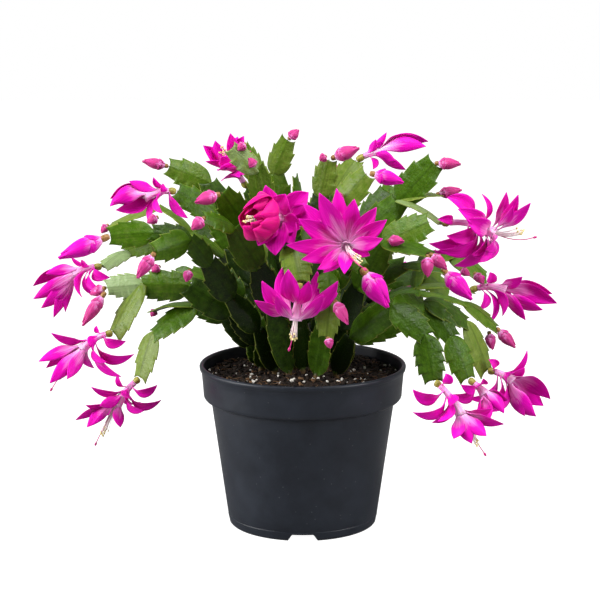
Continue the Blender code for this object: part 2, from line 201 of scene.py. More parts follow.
def addRange(tree, value, low, high, first, last):
    return addNode(tree, "MapRange", 0, {0: value, 1: low, 2: high, 3: first, 4: last})


def addRamp(tree, value, *stops):
    return addNode(tree, "ValToRGB", 0, {0: value}, stops)


def addMix(tree, share, under, over, blend="MIX"):
    over = rgb(over) if isinstance(over, str) else over
    return addNode(tree, "Mix", 2, {0: share, 6: under, 7: over}, data_type="RGBA", blend_type=blend)


def addBump(tree, shader, height, strength, distance):
    bump = addNode(tree, "Bump", 0, {"Height": height, "Strength": strength, "Distance": distance})
    tree.links.new(bump, shader.inputs["Normal"])


def newMaterial(name, **surface):
    material = bpy.data.materials.new(name)
    material.use_nodes = True
    tree = material.node_tree
    shader = tree.nodes["Principled BSDF"]
    for socket, value in surface.items():
        shader.inputs[socket.replace("_", " ")].default_value = value
    return material, tree, shader


# The marks that the meshes carry: along, across and tone, and the place in millimetres.
def readMarks(tree):
    look = addNode(tree, "Attribute", "Vector", {}, attribute_name="look")
    way = addNode(tree, "Attribute", "Vector", {}, attribute_name="way")
    parts = addNode(tree, "SeparateXYZ", 0, {0: look}).node.outputs
    return *parts, way


def addStreaks(tree, way, width, stretch, detail):
    long = addNode(tree, "VectorMath", 0, {0: way, 1: (1.0 / width, stretch, 1.0)}, operation="MULTIPLY")
    return addNoise(tree, long, 1.0, detail)


# Living skin: moulded by growth, so a waxy satin with light passing a little way in.
cactusSkin = {
    "deep": "#142602", "mid": "#3E6006", "light": "#64762A", "pale": "#7E9362", "rim": "#8C9838",
    "cork": "#5E4A2E", "mottleSize": 5.0, "speckSize": 0.9, "streakWidth": 1.1,
}


def makeCactusSkin():
    material, tree, shader = newMaterial(
        "waxy_cactus_skin", Roughness=0.42, IOR=1.42, Specular_IOR_Level=0.25, Subsurface_Weight=0.05,
        Subsurface_Scale=0.002, Subsurface_Radius=(0.5, 1.0, 0.2))
    along, across, tone, way = readMarks(tree)
    skin = cactusSkin
    mottle = addNoise(tree, way, 1.0 / skin["mottleSize"], 4.0, 0.6)
    # Stomata are a tenth of this size: drawn coarse enough to show as a faint bloom.
    specks = addNoise(tree, way, 1.0 / skin["speckSize"], 2.0)
    age = addNode(tree, "Math", 0, {0: mottle, 1: 0.5, 2: tone}, operation="MULTIPLY_ADD")
    age = addNode(tree, "Math", 0, {0: age, 1: -0.25}, operation="ADD")
    colour = addRamp(tree, age, (0.05, skin["deep"]), (0.42, skin["mid"]), (0.72, skin["light"]),
                     (1.0, skin["pale"]))
    colour = addMix(tree, addRange(tree, across, 0.94, 1.0, 0.0, 0.45), colour, skin["rim"])
    colour = addMix(tree, addRange(tree, across, 0.0, 0.12, 0.35, 0.0), colour, skin["deep"])
    colour = addMix(tree, addRange(tree, specks, 0.58, 0.72, 0.0, 0.22), colour, skin["light"])
    colour = addMix(tree, addRange(tree, along, -0.05, -0.4, 0.0, 1.0), colour, skin["cork"])
    # Lengthwise strands under the skin, as lighter and darker lines.
    strands = addStreaks(tree, way, skin["streakWidth"], 0.05, 3.0)
    colour = addMix(tree, 1.0, colour, addRange(tree, strands, 0.35, 0.65, 0.86, 1.12), "MULTIPLY")
    tree.links.new(colour, shader.inputs["Base Color"])
    tree.links.new(addRange(tree, mottle, 0.3, 0.7, 0.30, 0.48), shader.inputs["Roughness"])
    addBump(tree, shader, addNoise(tree, way, 0.45, 3.0), 0.6, 0.0009)
    return material


# Petal tissue: thin and moist, with a soft silky sheen, pale where it leaves the tube.
petalTissue = {
    "magenta": ("#DC00AE", "#B4007E"), "crimson": ("#D80080", "#B00062"), "pink": ("#C23A84", "#9C3060"),
    "pale": "#EE8FD2", "white": "#F6D3EC", "streak": 0.7,
}


def makePetalTissue(name, full, deep):
    material, tree, shader = newMaterial(
        name, Roughness=0.5, IOR=1.33, Specular_IOR_Level=0.25, Subsurface_Weight=0.2,
        Subsurface_Scale=0.002, Subsurface_Radius=(1.0, 0.15, 0.6), Sheen_Weight=0.08, Sheen_Roughness=0.4)
    along, across, tone, way = readMarks(tree)
    veins = addStreaks(tree, way, petalTissue["streak"], 0.08, 2.0)
    # Paler along the midline: partly the petal's own pale keel, partly a painted highlight of its satin
    # sheen.
    keelPaleAndSheen = addRange(tree, across, 0.0, 0.5, -0.12, 0.03)
    run = addNode(tree, "Math", 0, {0: along, 1: keelPaleAndSheen}, operation="ADD")
    ripe = addNode(tree, "Math", 0, {0: veins, 1: 0.35, 2: run}, operation="MULTIPLY_ADD")
    pale, white = petalTissue["pale"], petalTissue["white"]
    body = addRamp(tree, ripe, (0.07, white), (0.36, pale), (0.70, full), (1.0, full))
    veined = addMix(tree, addRange(tree, veins, 0.35, 0.65, 0.0, 0.45), body, deep, "MULTIPLY")
    tree.links.new(addMix(tree, tone, body, veined), shader.inputs["Base Color"])
    addBump(tree, shader, veins, 0.35, 0.0006)
    return material


# Everything small: one colour broken by a noise of its own size.
def makeSpeckled(name, dark, light, size, roughness, depth=0.0, ior=1.4):
    material, tree, shader = newMaterial(name, Roughness=roughness, IOR=ior)
    place = addNode(tree, "NewGeometry", "Position", {})
    grain = addNoise(tree, place, 1.0 / (size * mm), 4.0, 0.65)
    tree.links.new(addRamp(tree, grain, (0.32, dark), (0.68, light)), shader.inputs["Base Color"])
    if depth:
        addBump(tree, shader, grain, 0.8, depth * mm)
    return material


# Recycled polypropylene, injection moulded: nearly black with a blue cast, a satin face and pale dust specks.
pottedPlastic = {
    "dark": "#171B23", "light": "#20252E", "dust": "#5A5B5C", "cloud": 45.0, "specks": 160.0, "grain": 0.35,
}


def makePotPlastic():
    material, tree, shader = newMaterial(
        "moulded_polypropylene", Roughness=0.4, IOR=1.49, Specular_IOR_Level=0.3)
    place = addNode(tree, "NewGeometry", "Position", {})
    cloud = addNoise(tree, place, pottedPlastic["cloud"], 5.0, 0.6)
    colour = addRamp(tree, cloud, (0.35, pottedPlastic["dark"]), (0.7, pottedPlastic["light"]))
    specks = addNode(tree, "TexVoronoi", "Distance", {"Vector": place, "Scale": pottedPlastic["specks"]})
    colour = addMix(tree, addRange(tree, specks, 0.05, 0.09, 0.35, 0.0), colour, pottedPlastic["dust"])
    tree.links.new(colour, shader.inputs["Base Color"])
    tree.links.new(addRange(tree, cloud, 0.3, 0.7, 0.34, 0.46), shader.inputs["Roughness"])
    addBump(tree, shader, addNoise(tree, place, 1.0 / (pottedPlastic["grain"] * mm), 2.0), 0.12, 0.0002)
    return material


skinMaterial = makeCactusSkin()
petalMaterial = makePetalTissue("magenta_petal_tissue", *petalTissue["magenta"])
roseMaterial = makePetalTissue("crimson_petal_tissue", *petalTissue["crimson"])
budMaterial = makePetalTissue("pink_bud_tissue", *petalTissue["pink"])
ovaryMaterial = makeSpeckled("olive_ovary_skin", "#6E6A1E", "#A9A04A", 2.0, 0.42)
budNeckMaterial = makeSpeckled("rusty_bud_neck", "#6A4A20", "#A57A48", 1.6, 0.45)
filamentMaterial = makeSpeckled("pale_filament", "#F6DDE6", "#FFF6F0", 3.0, 0.5)
antherMaterial = makeSpeckled("cream_pollen", "#D9C27A", "#F3E7B0", 0.5, 0.8, 0.1)
stigmaMaterial = makeSpeckled("crimson_stigma", "#B5106A", "#D8348C", 1.5, 0.45)
bristleMaterial = makeSpeckled("dry_bristle", "#5A3A22", "#A07A4A", 1.0, 0.7, ior=1.45)
peatMaterial = makeSpeckled("damp_peat", "#090605", "#2C1D11", 2.2, 0.85, 0.5)
barkMaterial = makeSpeckled("pine_bark", "#2A1A0E", "#8A6644", 2.6, 0.8, 0.4)
perliteMaterial = makeSpeckled("expanded_perlite", "#B8B2A6", "#F4F1EA", 1.0, 0.9, 0.2, 1.5)
potMaterial = makePotPlastic()
print("materials made")


# ---- pot

pot = {
    "height": 120.0, "footRadius": 54.8, "bodyTop": (67.4, 92.0), "collarFoot": (73.1, 99.5),
    "collarTop": 74.6, "lipRadius": 76.0, "lipBottom": 116.5, "wall": 1.8, "floor": 2.0,
    "sides": 192, "notches": 4, "notchWidth": 21.5, "notchTopWidth": 16.5, "notchHeight": 5.2,
    "notchReach": (42.0, 60.0), "base": 7.4, "footRound": 2.6, "softAngle": 50,
    "collarInside": (114.0, 108.0, 103.0), "bodyInside": (60.0, 30.0, 14.0, 9.4),
}


def innerRadius(z):
    heights = (pot["floor"], pot["bodyTop"][1], pot["collarFoot"][1], pot["height"])
    radii = (pot["footRadius"], pot["bodyTop"][0], pot["collarFoot"][0], pot["collarTop"])
    return np.interp(z, heights, radii) - pot["wall"]


def arcPoints(centre, radius, start, end, steps):
    turn = np.radians(np.linspace(start, end, steps + 1))
    return [(centre[0] + radius * math.cos(a), centre[1] + radius * math.sin(a)) for a in turn]


def makePot():
    footRound = pot["footRound"]
    lipRound = (pot["lipRadius"] - pot["collarTop"] + pot["wall"]) / 2
    (bodyRadius, bodyZ), (collarRadius, collarZ) = pot["bodyTop"], pot["collarFoot"]
    # The underside is set up inside a foot ring.
    profile = [(0.5, 5.6), (30.0, 5.6), (47.8, 5.4), (48.8, 4.4), (49.2, 0.7), (49.8, 0.0),
               (pot["footRadius"] - footRound - 0.4, 0.0)]
    profile += arcPoints((pot["footRadius"] - footRound, footRound), footRound, -90, -5, 6)
    # The faint ring a little above the foot, then the plain tapered wall.
    ring = pot["footRadius"] + 0.6
    profile += [(ring, 6.2), (ring + 0.1, 6.6), (ring - 0.1, 7.0), (ring + 0.15, 7.5)]
    for share in np.linspace(0.1, 1.0, 9):
        profile.append((ring + 0.15 + (bodyRadius - ring - 0.15) * share, 7.5 + (bodyZ - 7.5) * share))
    # The step out to the collar, with its soft crease.
    profile += arcPoints((bodyRadius + 1.0, bodyZ + 1.0), 1.0, 180, 110, 3)
    profile += [(collarRadius - 2.6, collarZ - 5.4)]
    profile += arcPoints((collarRadius - 3.2, collarZ - 2.0), 3.2, -60, 0, 5)
    profile += [(collarRadius + 0.2, collarZ + 1.2), (collarRadius + 0.4, collarZ + 4.0)]
    profile += [(collarRadius + 1.0, collarZ + 11.0), (pot["collarTop"], pot["lipBottom"] - 1.2)]
    profile += [(pot["collarTop"] + 0.4, pot["lipBottom"] - 0.6)]
    profile += [(pot["lipRadius"] - 0.3, pot["lipBottom"])]
    profile += arcPoints((pot["lipRadius"] - lipRound, pot["height"] - lipRound), lipRound, -10, 185, 10)
    heights = (*pot["collarInside"], collarZ, collarZ - 3.5, bodyZ, *pot["bodyInside"])
    profile += [(float(innerRadius(z)), z) for z in heights]
    inside = profile[-1][0]
    profile += [(inside - 0.7, pot["base"] + 0.4), (inside - 1.8, pot["base"]), (0.5, pot["base"])]
    turn = turns(pot["sides"])
    ring = np.stack([np.cos(turn), np.sin(turn), np.zeros(pot["sides"])], 1)
    heap = Heap()
    addSkin(heap, np.array([ring * r + up * z for r, z in profile]))
    piece = heap.make("nursery_pot", [potMaterial], "charcoal_plastic", "pot")
    near, far = pot["notchReach"]
    wide, narrow = pot["notchWidth"] / 2, pot["notchTopWidth"] / 2
    outline = ((-wide, -1.0), (wide, -1.0), (wide, 0.6), (narrow, pot["notchHeight"] - 0.6),
               (narrow - 0.8, pot["notchHeight"]), (0.8 - narrow, pot["notchHeight"]),
               (-narrow, pot["notchHeight"] - 0.6), (-wide, 0.6))
    cutters = Heap()
    for n in range(pot["notches"]):
        spin = np.array(Matrix.Rotation(math.tau * n / pot["notches"], 3, "Z"))
        addSkin(cutters, np.array([[spin @ (x, y, z) for x, z in outline] for y in (-near, -far)]))
    cutter = link("notchCutters", cutters.mesh("notchCutters"))
    cut = piece.modifiers.new("notches", "BOOLEAN")
    cut.operation = "DIFFERENCE"
    cut.object = cutter
    bpy.context.view_layer.update()
    done = bpy.data.meshes.new_from_object(piece.evaluated_get(bpy.context.evaluated_depsgraph_get()))
    piece.modifiers.clear()
    piece.data = done
    done.set_sharp_from_angle(angle=math.radians(pot["softAngle"]))
    bpy.data.objects.remove(cutter, do_unlink=True)


makePot()
print("pot made")


# ---- potting mix

mix = {
    "edge": 111.0, "crown": 4.5, "rings": 90, "sides": 220, "rough": 1.5,
    # How many, smallest and largest size, proportions, and how far they stand out of the mix.
    "crumbs": (3400, (0.9, 4.6), (1.0, 0.9, 0.7), 0.25), "bark": (300, (1.2, 6.0), (1.0, 0.4, 0.25), 0.9),
    "perlite": (220, (0.9, 3.3), (1.0, 0.9, 0.8), 0.5), "fibres": 170,
    "fibreRadii": (0.1, 0.18, 0.2, 0.2, 0.16, 0.08),
}


def mixHeight(x, y):
    reach = np.hypot(x, y) / innerRadius(mix["edge"])
    return mix["edge"] + mix["crown"] * (1.0 - reach * reach)


def mixBumps(x, y):
    coarse = noise.noise(Vector((x / 9.0, y / 9.0, 3.0)))
    fine = noise.noise(Vector((x / 2.6, y / 2.6, 9.0)))
    return mix["rough"] * (coarse * 0.8 + fine * 0.5)


# Lumps with a rough skin: icosahedra, pushed about and stretched.
def scatterLumps(name, material, count, sizes, stretch, rise, seed, clear=0.0):
    dice = random.Random(seed)
    ball = bmesh.new()
    bmesh.ops.create_icosphere(ball, subdivisions=1, radius=1.0)
    points = np.array([v.co for v in ball.verts])
    faces = [tuple(v.index for v in f.verts) for f in ball.faces]
    ball.free()
    heap = Heap()
    widest = float(innerRadius(mix["edge"])) - 1.5
    for _ in range(count):
        reach = widest * math.sqrt(dice.uniform(clear, 1.0))
        turn = dice.uniform(0.0, math.tau)
        size = sizes[0] + (sizes[1] - sizes[0]) * dice.random() ** 2.2
        reach = min(reach, widest - size * 0.5)
        x, y = reach * math.cos(turn), reach * math.sin(turn)
        shape = points * (1.0 + 0.28 * np.array([dice.uniform(-1, 1) for _ in points])[:, None])
        shape = shape * np.array([size * s * dice.uniform(0.75, 1.25) / 2 for s in stretch])
        tilt = Matrix.Rotation(dice.uniform(-0.6, 0.6), 3, "X")
        tilt = tilt @ Matrix.Rotation(dice.uniform(-0.6, 0.6), 3, "Y")
        spin = np.array(Matrix.Rotation(dice.uniform(0.0, math.tau), 3, "Z") @ tilt)
        place = np.array((x, y, mixHeight(x, y) + mixBumps(x, y) + size * rise * stretch[2]))
        shape = shape @ spin.T + place
        heap.add(shape, faces, np.zeros(shape.shape), shape)
    heap.make(name, [material], "peat_mix")


def makeMix():
    widest = float(innerRadius(mix["edge"])) - 0.3
    turn = turns(mix["sides"])
    rings = []
    for r, z in ((0.5, 8.5), (widest - 20.0, 8.5), (widest - 7.5, 88.0), (widest - 1.5, 100.0)):
        rings.append([(r * math.cos(a), r * math.sin(a), z) for a in turn])
    for share in np.linspace(1.0, 0.006, mix["rings"]):
        r = widest * share
        spots = [(r * math.cos(a), r * math.sin(a)) for a in turn]
        rings.append([(x, y, mixHeight(x, y) + mixBumps(x, y)) for x, y in spots])
    heap = Heap()
    addSkin(heap, np.array(rings))
    heap.make("peat_plug", [peatMaterial], "peat_mix", "potting_mix")
    scatterLumps("peat_crumbs", peatMaterial, *mix["crumbs"], 11)
    scatterLumps("bark_chips", barkMaterial, *mix["bark"], 12)
    scatterLumps("perlite_grains", perliteMaterial, *mix["perlite"], 13, 0.1)
    dice = random.Random(14)
    heap = Heap()
    for _ in range(mix["fibres"]):
        reach = (widest - 5.0) * math.sqrt(dice.random())
        turn = dice.uniform(0.0, math.tau)
        x, y = reach * math.cos(turn), reach * math.sin(turn)
        lay = dice.uniform(0.0, math.tau)
        bend = dice.uniform(-0.5, 0.5)
        path = []
        for step in np.linspace(-0.5, 0.5, 6):
            run = step * dice.uniform(5.0, 9.0)
            px = x + run * math.cos(lay + bend * step)
            py = y + run * math.sin(lay + bend * step)
            path.append((px, py, mixHeight(px, py) + 1.5 + dice.uniform(-0.3, 0.5)))
        addRod(heap, path, mix["fibreRadii"], 4)
    heap.make("peat_fibres", [barkMaterial], "peat_mix")


makeMix()
print("potting mix made")


# ---- stems

# Each stem is chains of joints, as it was drawn for the frame: the first chain starts with its root (x, y),
# every later one with a joint of an earlier chain, and a joint is (x, y, z, turn). The turn is that of the
# segment which ends there: 0 with its flat side to the front, 90 with it upwards. A fifth number above 0
# makes that segment paler, one below 0 darker.
stems = {
    "left_rear": (
        ((-22, 20), (-23, 30, 148, 60), (-39, 40, 181, 50), (-53, 48, 213, 30), (-70, 54, 246, 20),
         (-100, 56, 258, 5)),
        ((-53, 48, 213), (-80, 44, 210, 40), (-106, 34, 205, 30), (-130, 24, 199, 30),
         (-146, 6, 191, 45, 0.4)),
    ),
    "left_upper": (
        ((-14, 2), (-26, 2, 150, 30), (-39, 0, 178, 30), (-51, -2, 206, 20), (-64, -4, 232, 20),
         (-90, -10, 249, 20)),
        ((-39, 0, 178), (-59, 10, 197, 60), (-82, 20, 214, 70), (-105, 26, 232, 75),
         (-141, 28, 219, 75, 0.3)),
    ),
    "left_front": (
        ((-20, -16), (-32, -26, 150, 30), (-51, -38, 176, 20), (-66, -50, 203, 10), (-79, -58, 222, 10),
         (-105, -64, 228, 10), (-134, -66, 226, 0)),
        ((-79, -58, 222), (-102, -78, 217, -20)),
    ),
    "left_mid": (
        ((-30, -6), (-31, -16, 139, 20), (-50, -26, 163, 10), (-81, -34, 184, 10), (-115, -38, 186, 0),
         (-140, -28, 182, -10, 0.6)),
        ((-115, -38, 186), (-135, -38, 151, 50, 0.35)),
        ((-31, -16, 139), (-46, -8, 167, 20), (-64, -14, 194, 10)),
    ),
    "left_low": (
        ((-34, 12), (-39, 14, 130, 30), (-57, 18, 150, 20), (-80, 20, 159, 20), (-111, 20, 138, 45, 0.15),
         (-121, 18, 105, 45, 0.3)),
        ((-80, 20, 159), (-110, 32, 153, 80)),
    ),
    "front_left": (
        ((-10, -22), (-21, -36, 166, 20), (-32, -52, 201, 10), (-48, -64, 231, 10), (-67, -76, 241, 45)),
        ((-32, -52, 201), (-42, -42, 232, 10), (-56, -60, 255, 0)),
    ),
    "top_left": (
        ((-14, 34), (-22, 44, 146, 40), (-29, 54, 180, 30), (-33, 58, 214, 20), (-32, 60, 247, 10),
         (-45, 62, 271, 0)),
        ((-33, 58, 214), (-41, 38, 244, 60)),
    ),
    "top_mid": (
        ((-2, 14), (-8, 18, 150, 60), (-12, 20, 184, 50), (-17, 22, 222, 30), (-21, 22, 257, 10),
         (-11, 22, 282, 0)),
        ((-17, 22, 222), (-27, 2, 237, 30), (-34, -6, 265, 10, 0.2)),
        ((-12, 20, 184), (-1, 26, 218, 70), (-5, 24, 254, 75)),
        ((-33, -6, 263), (-51, -10, 280, 10, 0.3)),
    ),
    "top_right": (
        ((8, 4), (2, 6, 150, 70), (8, 8, 181, 50), (10, 8, 212, 30), (13, 8, 242, 10), (19, 8, 269, 10)),
        ((10, 8, 212), (23, 30, 239, 40), (39, 42, 264, 30)),
    ),
    "right_top": (
        ((14, -12), (13, -16, 147, 60), (18, -18, 177, 50), (21, -18, 208, 30), (24, -18, 237, 20),
         (45, -22, 263, 20)),
    ),
    "right_upper": (
        ((22, 14), (26, 14, 146, 30), (35, 12, 178, 30), (43, 12, 210, 20), (70, 16, 238, 15),
         # The last segment here is painted darker: painted shade on a segment lit from the top.
         (96, 22, 265, 0, -0.15)),
        ((70, 16, 238), (98, 34, 240, 70, 0.4)),
        ((70, 16, 238), (100, 0, 224, 75, 0.4)),
        ((43, 12, 210), (63, 32, 242, 10)),
    ),
    "right_front": (
        ((26, -8), (28, -18, 150, 30), (40, -30, 182, 30), (57, -44, 217, 20), (87, -60, 213, 60)),
        ((40, -30, 182), (72, -36, 200, 40), (98, -44, 199, 60)),
        ((57, -44, 217), (89, -38, 231, 10)),
    ),
    "right_mid": (
        ((32, 6), (35, 8, 140, 20), (56, 12, 161, 30), (84, 16, 173, 60), (123, 22, 170, 80)),
        ((84, 16, 173), (87, 32, 190, 60), (110, 42, 194, 50), (138, 48, 176, 45)),
        ((56, 12, 161), (86, -2, 172, 60), (117, -4, 166, 75), (141, -6, 148, 60)),
        ((35, 8, 140), (73, -6, 153, 20)),
    ),
    "right_low": (
        ((24, -24), (34, -36, 147, 20), (64, -52, 173, 20), (86, -66, 155, 10), (92, -72, 124, 0)),
        ((64, -52, 173), (87, -36, 172, 20), (106, -44, 149, 10), (118, -44, 119, 25)),
        ((87, -36, 172), (118, -26, 156, 50), (133, -24, 120, 50, 0.3)),
    ),
    "front_mid": (
        ((0, -14), (-1, -26, 153, 40), (-3, -46, 188, 30), (-8, -64, 221, 30), (-2, -86, 198, 0, 0.25)),
        ((-3, -46, 188), (-1, -42, 207, 60), (2, -46, 228, 60)),
    ),
    "front_right": (
        ((10, -28), (14, -44, 154, 30), (23, -56, 186, 30), (30, -50, 212, 30), (41, -62, 203, 0)),
        ((23, -56, 186), (17, -76, 202, 40), (19, -90, 185, 20), (16, -92, 160, 0, 0.12)),
    ),
    "back_left": (
        ((-27, 38), (-36, 56, 144, 40), (-44, 80, 172, 30), (-50, 106, 188, 20), (-52, 132, 186, 10),
         (-54, 152, 166, 0)),
        ((-44, 80, 172), (-60, 86, 204, 20), (-74, 100, 232, 10)),
        ((-36, 56, 144), (-62, 66, 166, 20), (-86, 80, 174, 30), (-104, 92, 156, 20)),
    ),
    "back_mid": (
        ((-2, 44), (-6, 62, 148, 20), (-8, 84, 180, 10), (-10, 104, 208, 0), (-8, 132, 214, 0),
         (-6, 156, 196, 0)),
        ((-8, 84, 180), (12, 96, 210, -20), (22, 112, 238, -10)),
        ((-6, 62, 148), (-16, 72, 186, 25), (-27, 83, 222, 30), (-34, 98, 250, 20)),
        ((-6, 62, 148), (8, 88, 160, 20), (16, 118, 166, 10), (20, 140, 146, 0)),
    ),
    "back_right": (
        ((24, 34), (34, 52, 146, 30), (44, 76, 174, 30), (56, 100, 190, 20), (62, 126, 188, 10),
         (64, 146, 168, 0)),
        ((44, 76, 174), (58, 80, 208, 30), (68, 92, 238, 20)),
        ((34, 52, 146), (62, 58, 168, 40), (90, 66, 176, 30), (112, 76, 158, 30)),
    ),
}

# Old shoots in the shade at the heart of the plant, too close in to be in the frame.
innerShoots = (
    ((2, 24), (4, 28, 146, 40), (8, 34, 178, 10), (10, 40, 208, 60)),
    ((-8, 6), (-12, 8, 145, 75), (-18, 10, 176, 60), (-26, 10, 206, 70)),
    ((14, 6), (20, 4, 146, 70), (30, 2, 174, 60), (46, 0, 194, 70)),
    ((6, -10), (8, -14, 146, 50), (12, -22, 176, 70), (12, -30, 204, 60)),
    ((-18, 22), (-26, 26, 142, 60), (-40, 30, 164, 70), (-58, 32, 184, 65)),
    ((24, 22), (32, 26, 142, 60), (48, 30, 160, 70), (66, 34, 180, 60)),
    ((-6, -8), (-8, -14, 144, 80), (-14, -24, 172, 60), (-22, -34, 196, 70)),
)

segment = {
    # How much painted shade darkens the heart of the crown, and the middle and the half sizes of that heart.
    "deepShade": 0.30, "heart": (0.0, 10.0, 180.0), "heartReach": (110.0, 75.0, 75.0),
    "widthShare": 0.64, "widths": (15.5, 25.0), "youngWidths": (0.74, 0.86),
    "columns": 15, "body": 0.85, "edge": 0.3, "midrib": 0.6, "vein": 0.07,
    "toothReach": 1.0, "toothForward": 1.6, "hornReach": 0.9, "hornForward": 2.8, "notch": 0.8,
    "camber": 0.07, "cup": 0.05,
    # Half width along the segment, as a share of the full one, before its teeth.
    "outline": ((0.0, 0.20), (0.04, 0.36), (0.10, 0.62), (0.20, 0.86), (0.34, 0.97), (0.55, 1.0),
                (0.75, 0.93), (0.88, 0.76), (1.0, 0.56)),
    "footDepth": 6.0, "footStub": 4.0, "skew": 1.3, "overlap": 1.2, "twist": 0.16, "ripple": 0.02,
}
bristle = {"length": (0.8, 1.7), "perNotch": 2, "perTip": 6, "thick": 0.11}


# Length direction, width direction and the flat side's normal, as they were set for the frame.
def segmentAxes(start, end, turn):
    along = unit(end - start)
    face = np.array((0.0, -1.0, 0.25))
    face = unit(face - (face @ along) * along)
    rise = np.cross(face, along)
    if rise[2] < 0.0:
        rise = -rise
    normal = face * math.cos(math.radians(turn)) + rise * math.sin(math.radians(turn))
    return along, np.cross(normal, along), normal


# Stations along one segment: (share of length, half width as a share, tooth 0..1, notch 0..1, horn).
def marginStations(dice):
    teeth = (0.40, 0.62, 0.82) if dice.random() < 0.45 else (0.46, 0.74)
    ends = [t + dice.uniform(-0.02, 0.02) for t in teeth] + [1.0]
    stations = []
    start = 0.0
    for n, end in enumerate(ends):
        low = start + (0.014 if n else 0.0)
        for share in np.linspace(0.0, 1.0, 7 if n else 12):
            eased = share ** 0.8 if n else share
            notch = (1.0 - share) ** 2.2 if n else 0.0
            stations.append((low + (end - low) * eased, share ** 2.4, notch, end == 1.0))
        start = end
    return stations, ends


def addSegment(heap, bristles, start, end, axes, width, tone, dice, last, sharp=1.0):
    along, side, normal = axes
    length = np.linalg.norm(end - start)
    stations, ends = marginStations(dice)
    shares, tooth, notch, horn = (np.array(values) for values in zip(*stations))
    grow = min(1.0, width / 20.0) * sharp
    half = np.interp(shares, *zip(*segment["outline"])) * width / 2
    half = half + tooth * np.where(horn, segment["hornReach"], segment["toothReach"]) * grow
    half = half - notch * segment["notch"] * grow
    forward = tooth ** 1.6 * np.where(horn, segment["hornForward"], segment["toothForward"]) * grow
    forward[shares < ends[0] * 0.6] = 0.0
    v = np.sin(np.linspace(-math.pi / 2, math.pi / 2, segment["columns"]))
    u = shares[:, None] * np.ones_like(v)
    v = np.ones_like(shares)[:, None] * v
    skew = dice.uniform(-segment["skew"], segment["skew"])
    # Side teeth hook forward at the very margin; the two horns draw the whole tip forward.
    hook = forward[:, None] * np.abs(v) ** np.where(horn, 3, 10)[:, None]
    x = u * (length + segment["overlap"]) - segment["overlap"] + hook + skew * v * smooth(u, 0.1, 0.4)
    y = half[:, None] * v
    # The blade swells to its midrib and thins to its margins, with a low vein to each tooth.
    swell = np.clip(1.0 - v * v, 0.0, 1.0) ** 0.7
    taper = 1.0 - 0.35 * smooth(u, 0.55, 1.0)
    thick = segment["edge"] + segment["body"] * swell * taper
    thick = thick + segment["midrib"] * np.exp(-(v / 0.14) ** 2) * taper
    for place in ends:
        line = place - 0.20 + 0.19 * np.abs(v)
        thick = thick + segment["vein"] * np.exp(-((u - line) / 0.03) ** 2) * (np.abs(v) < 0.97)
    thick = thick * (0.75 + 0.25 * smooth(u, 0.0, 0.12))
    # Gravity arches it, so its upper side is the convex one; the margins fall a little too.
    bend = normal[2] if abs(normal[2]) > 0.25 else math.copysign(0.25, normal[2])
    bend = bend * segment["camber"] * length * dice.uniform(0.5, 1.3)
    wave = dice.uniform(0.0, math.tau)
    cup = math.copysign(segment["cup"], bend) * width
    z = bend * 4.0 * u * (1.0 - u) - cup * v * v * dice.uniform(0.2, 1.6)
    z = z + segment["ripple"] * width * np.sin(5.0 * u + wave) * v
    z = z + dice.uniform(-0.03, 0.03) * width * np.abs(v)
    twist = dice.uniform(-segment["twist"], segment["twist"]) * (u - 0.5)
    y, z = y * np.cos(twist) - z * np.sin(twist), y * np.sin(twist) + z * np.cos(twist)
    base = start + along * x[..., None] + side * y[..., None] + normal * z[..., None]
    over, under = base + normal * thick[..., None], base - normal * thick[..., None]
    look = np.stack([u, np.abs(v), np.full_like(u, tone)], -1)
    way = np.stack([y, x, np.full_like(u, dice.uniform(0.0, 500.0))], -1)
    addBlade(heap, over, under, look, way)
    # Bristles in the notches and at the areole on the tip.
    centre = segment["columns"] // 2
    for row in [i for i in range(1, len(stations)) if notch[i] > 0.99]:
        for column in (0, -1):
            spot = base[row, column]
            out = unit(spot - base[row, centre])
            for _ in range(bristle["perNotch"]):
                addBristle(bristles, spot, unit(out + along * dice.uniform(0.4, 1.6)), dice)
    if last:
        for _ in range(bristle["perTip"]):
            lean = side * dice.uniform(-0.9, 0.9) + normal * dice.uniform(-0.7, 0.7)
            addBristle(bristles, base[-1, centre], unit(along + lean), dice)


def addBristle(heap, spot, direction, dice):
    length = dice.uniform(*bristle["length"])
    path = [spot - direction * 0.3, spot + direction * length * 0.6, spot + direction * length]
    addRod(heap, path, [bristle["thick"], bristle["thick"] * 0.8, 0.02], 3, tone=dice.random())


# The woody foot of a rooted stem, from inside the mix up to its first segment.
def addFoot(heap, x, y, axes):
    normal = unit(np.array((axes[2][0], axes[2][1], 0.0)))
    side = np.cross(normal, up)
    top = float(mixHeight(x, y))
    rows = []
    stations = ((-segment["footDepth"], 2.2, 1.8), (-1.0, 2.7, 2.2), (1.5, 2.6, 2.0), (3.0, 2.3, 1.8),
                (segment["footStub"] + 1.0, 2.6, 1.5))
    for z, wide, thick in stations:
        turn = turns(12)
        knob = 1.0 + 0.06 * np.sin(turn * 3 + z)
        ring = side * (np.cos(turn) * wide * knob)[:, None]
        ring = ring + normal * (np.sin(turn) * thick * knob)[:, None]
        rows.append(ring + np.array((x, y, top + z)))
    rings = np.array(rows)
    look = np.zeros(rings.shape)
    look[..., 0] = np.array((-0.9, -0.8, -0.5, -0.25, 0.0))[:, None]
    look[..., 1:] = (0.4, 0.15)
    addSkin(heap, rings, look)


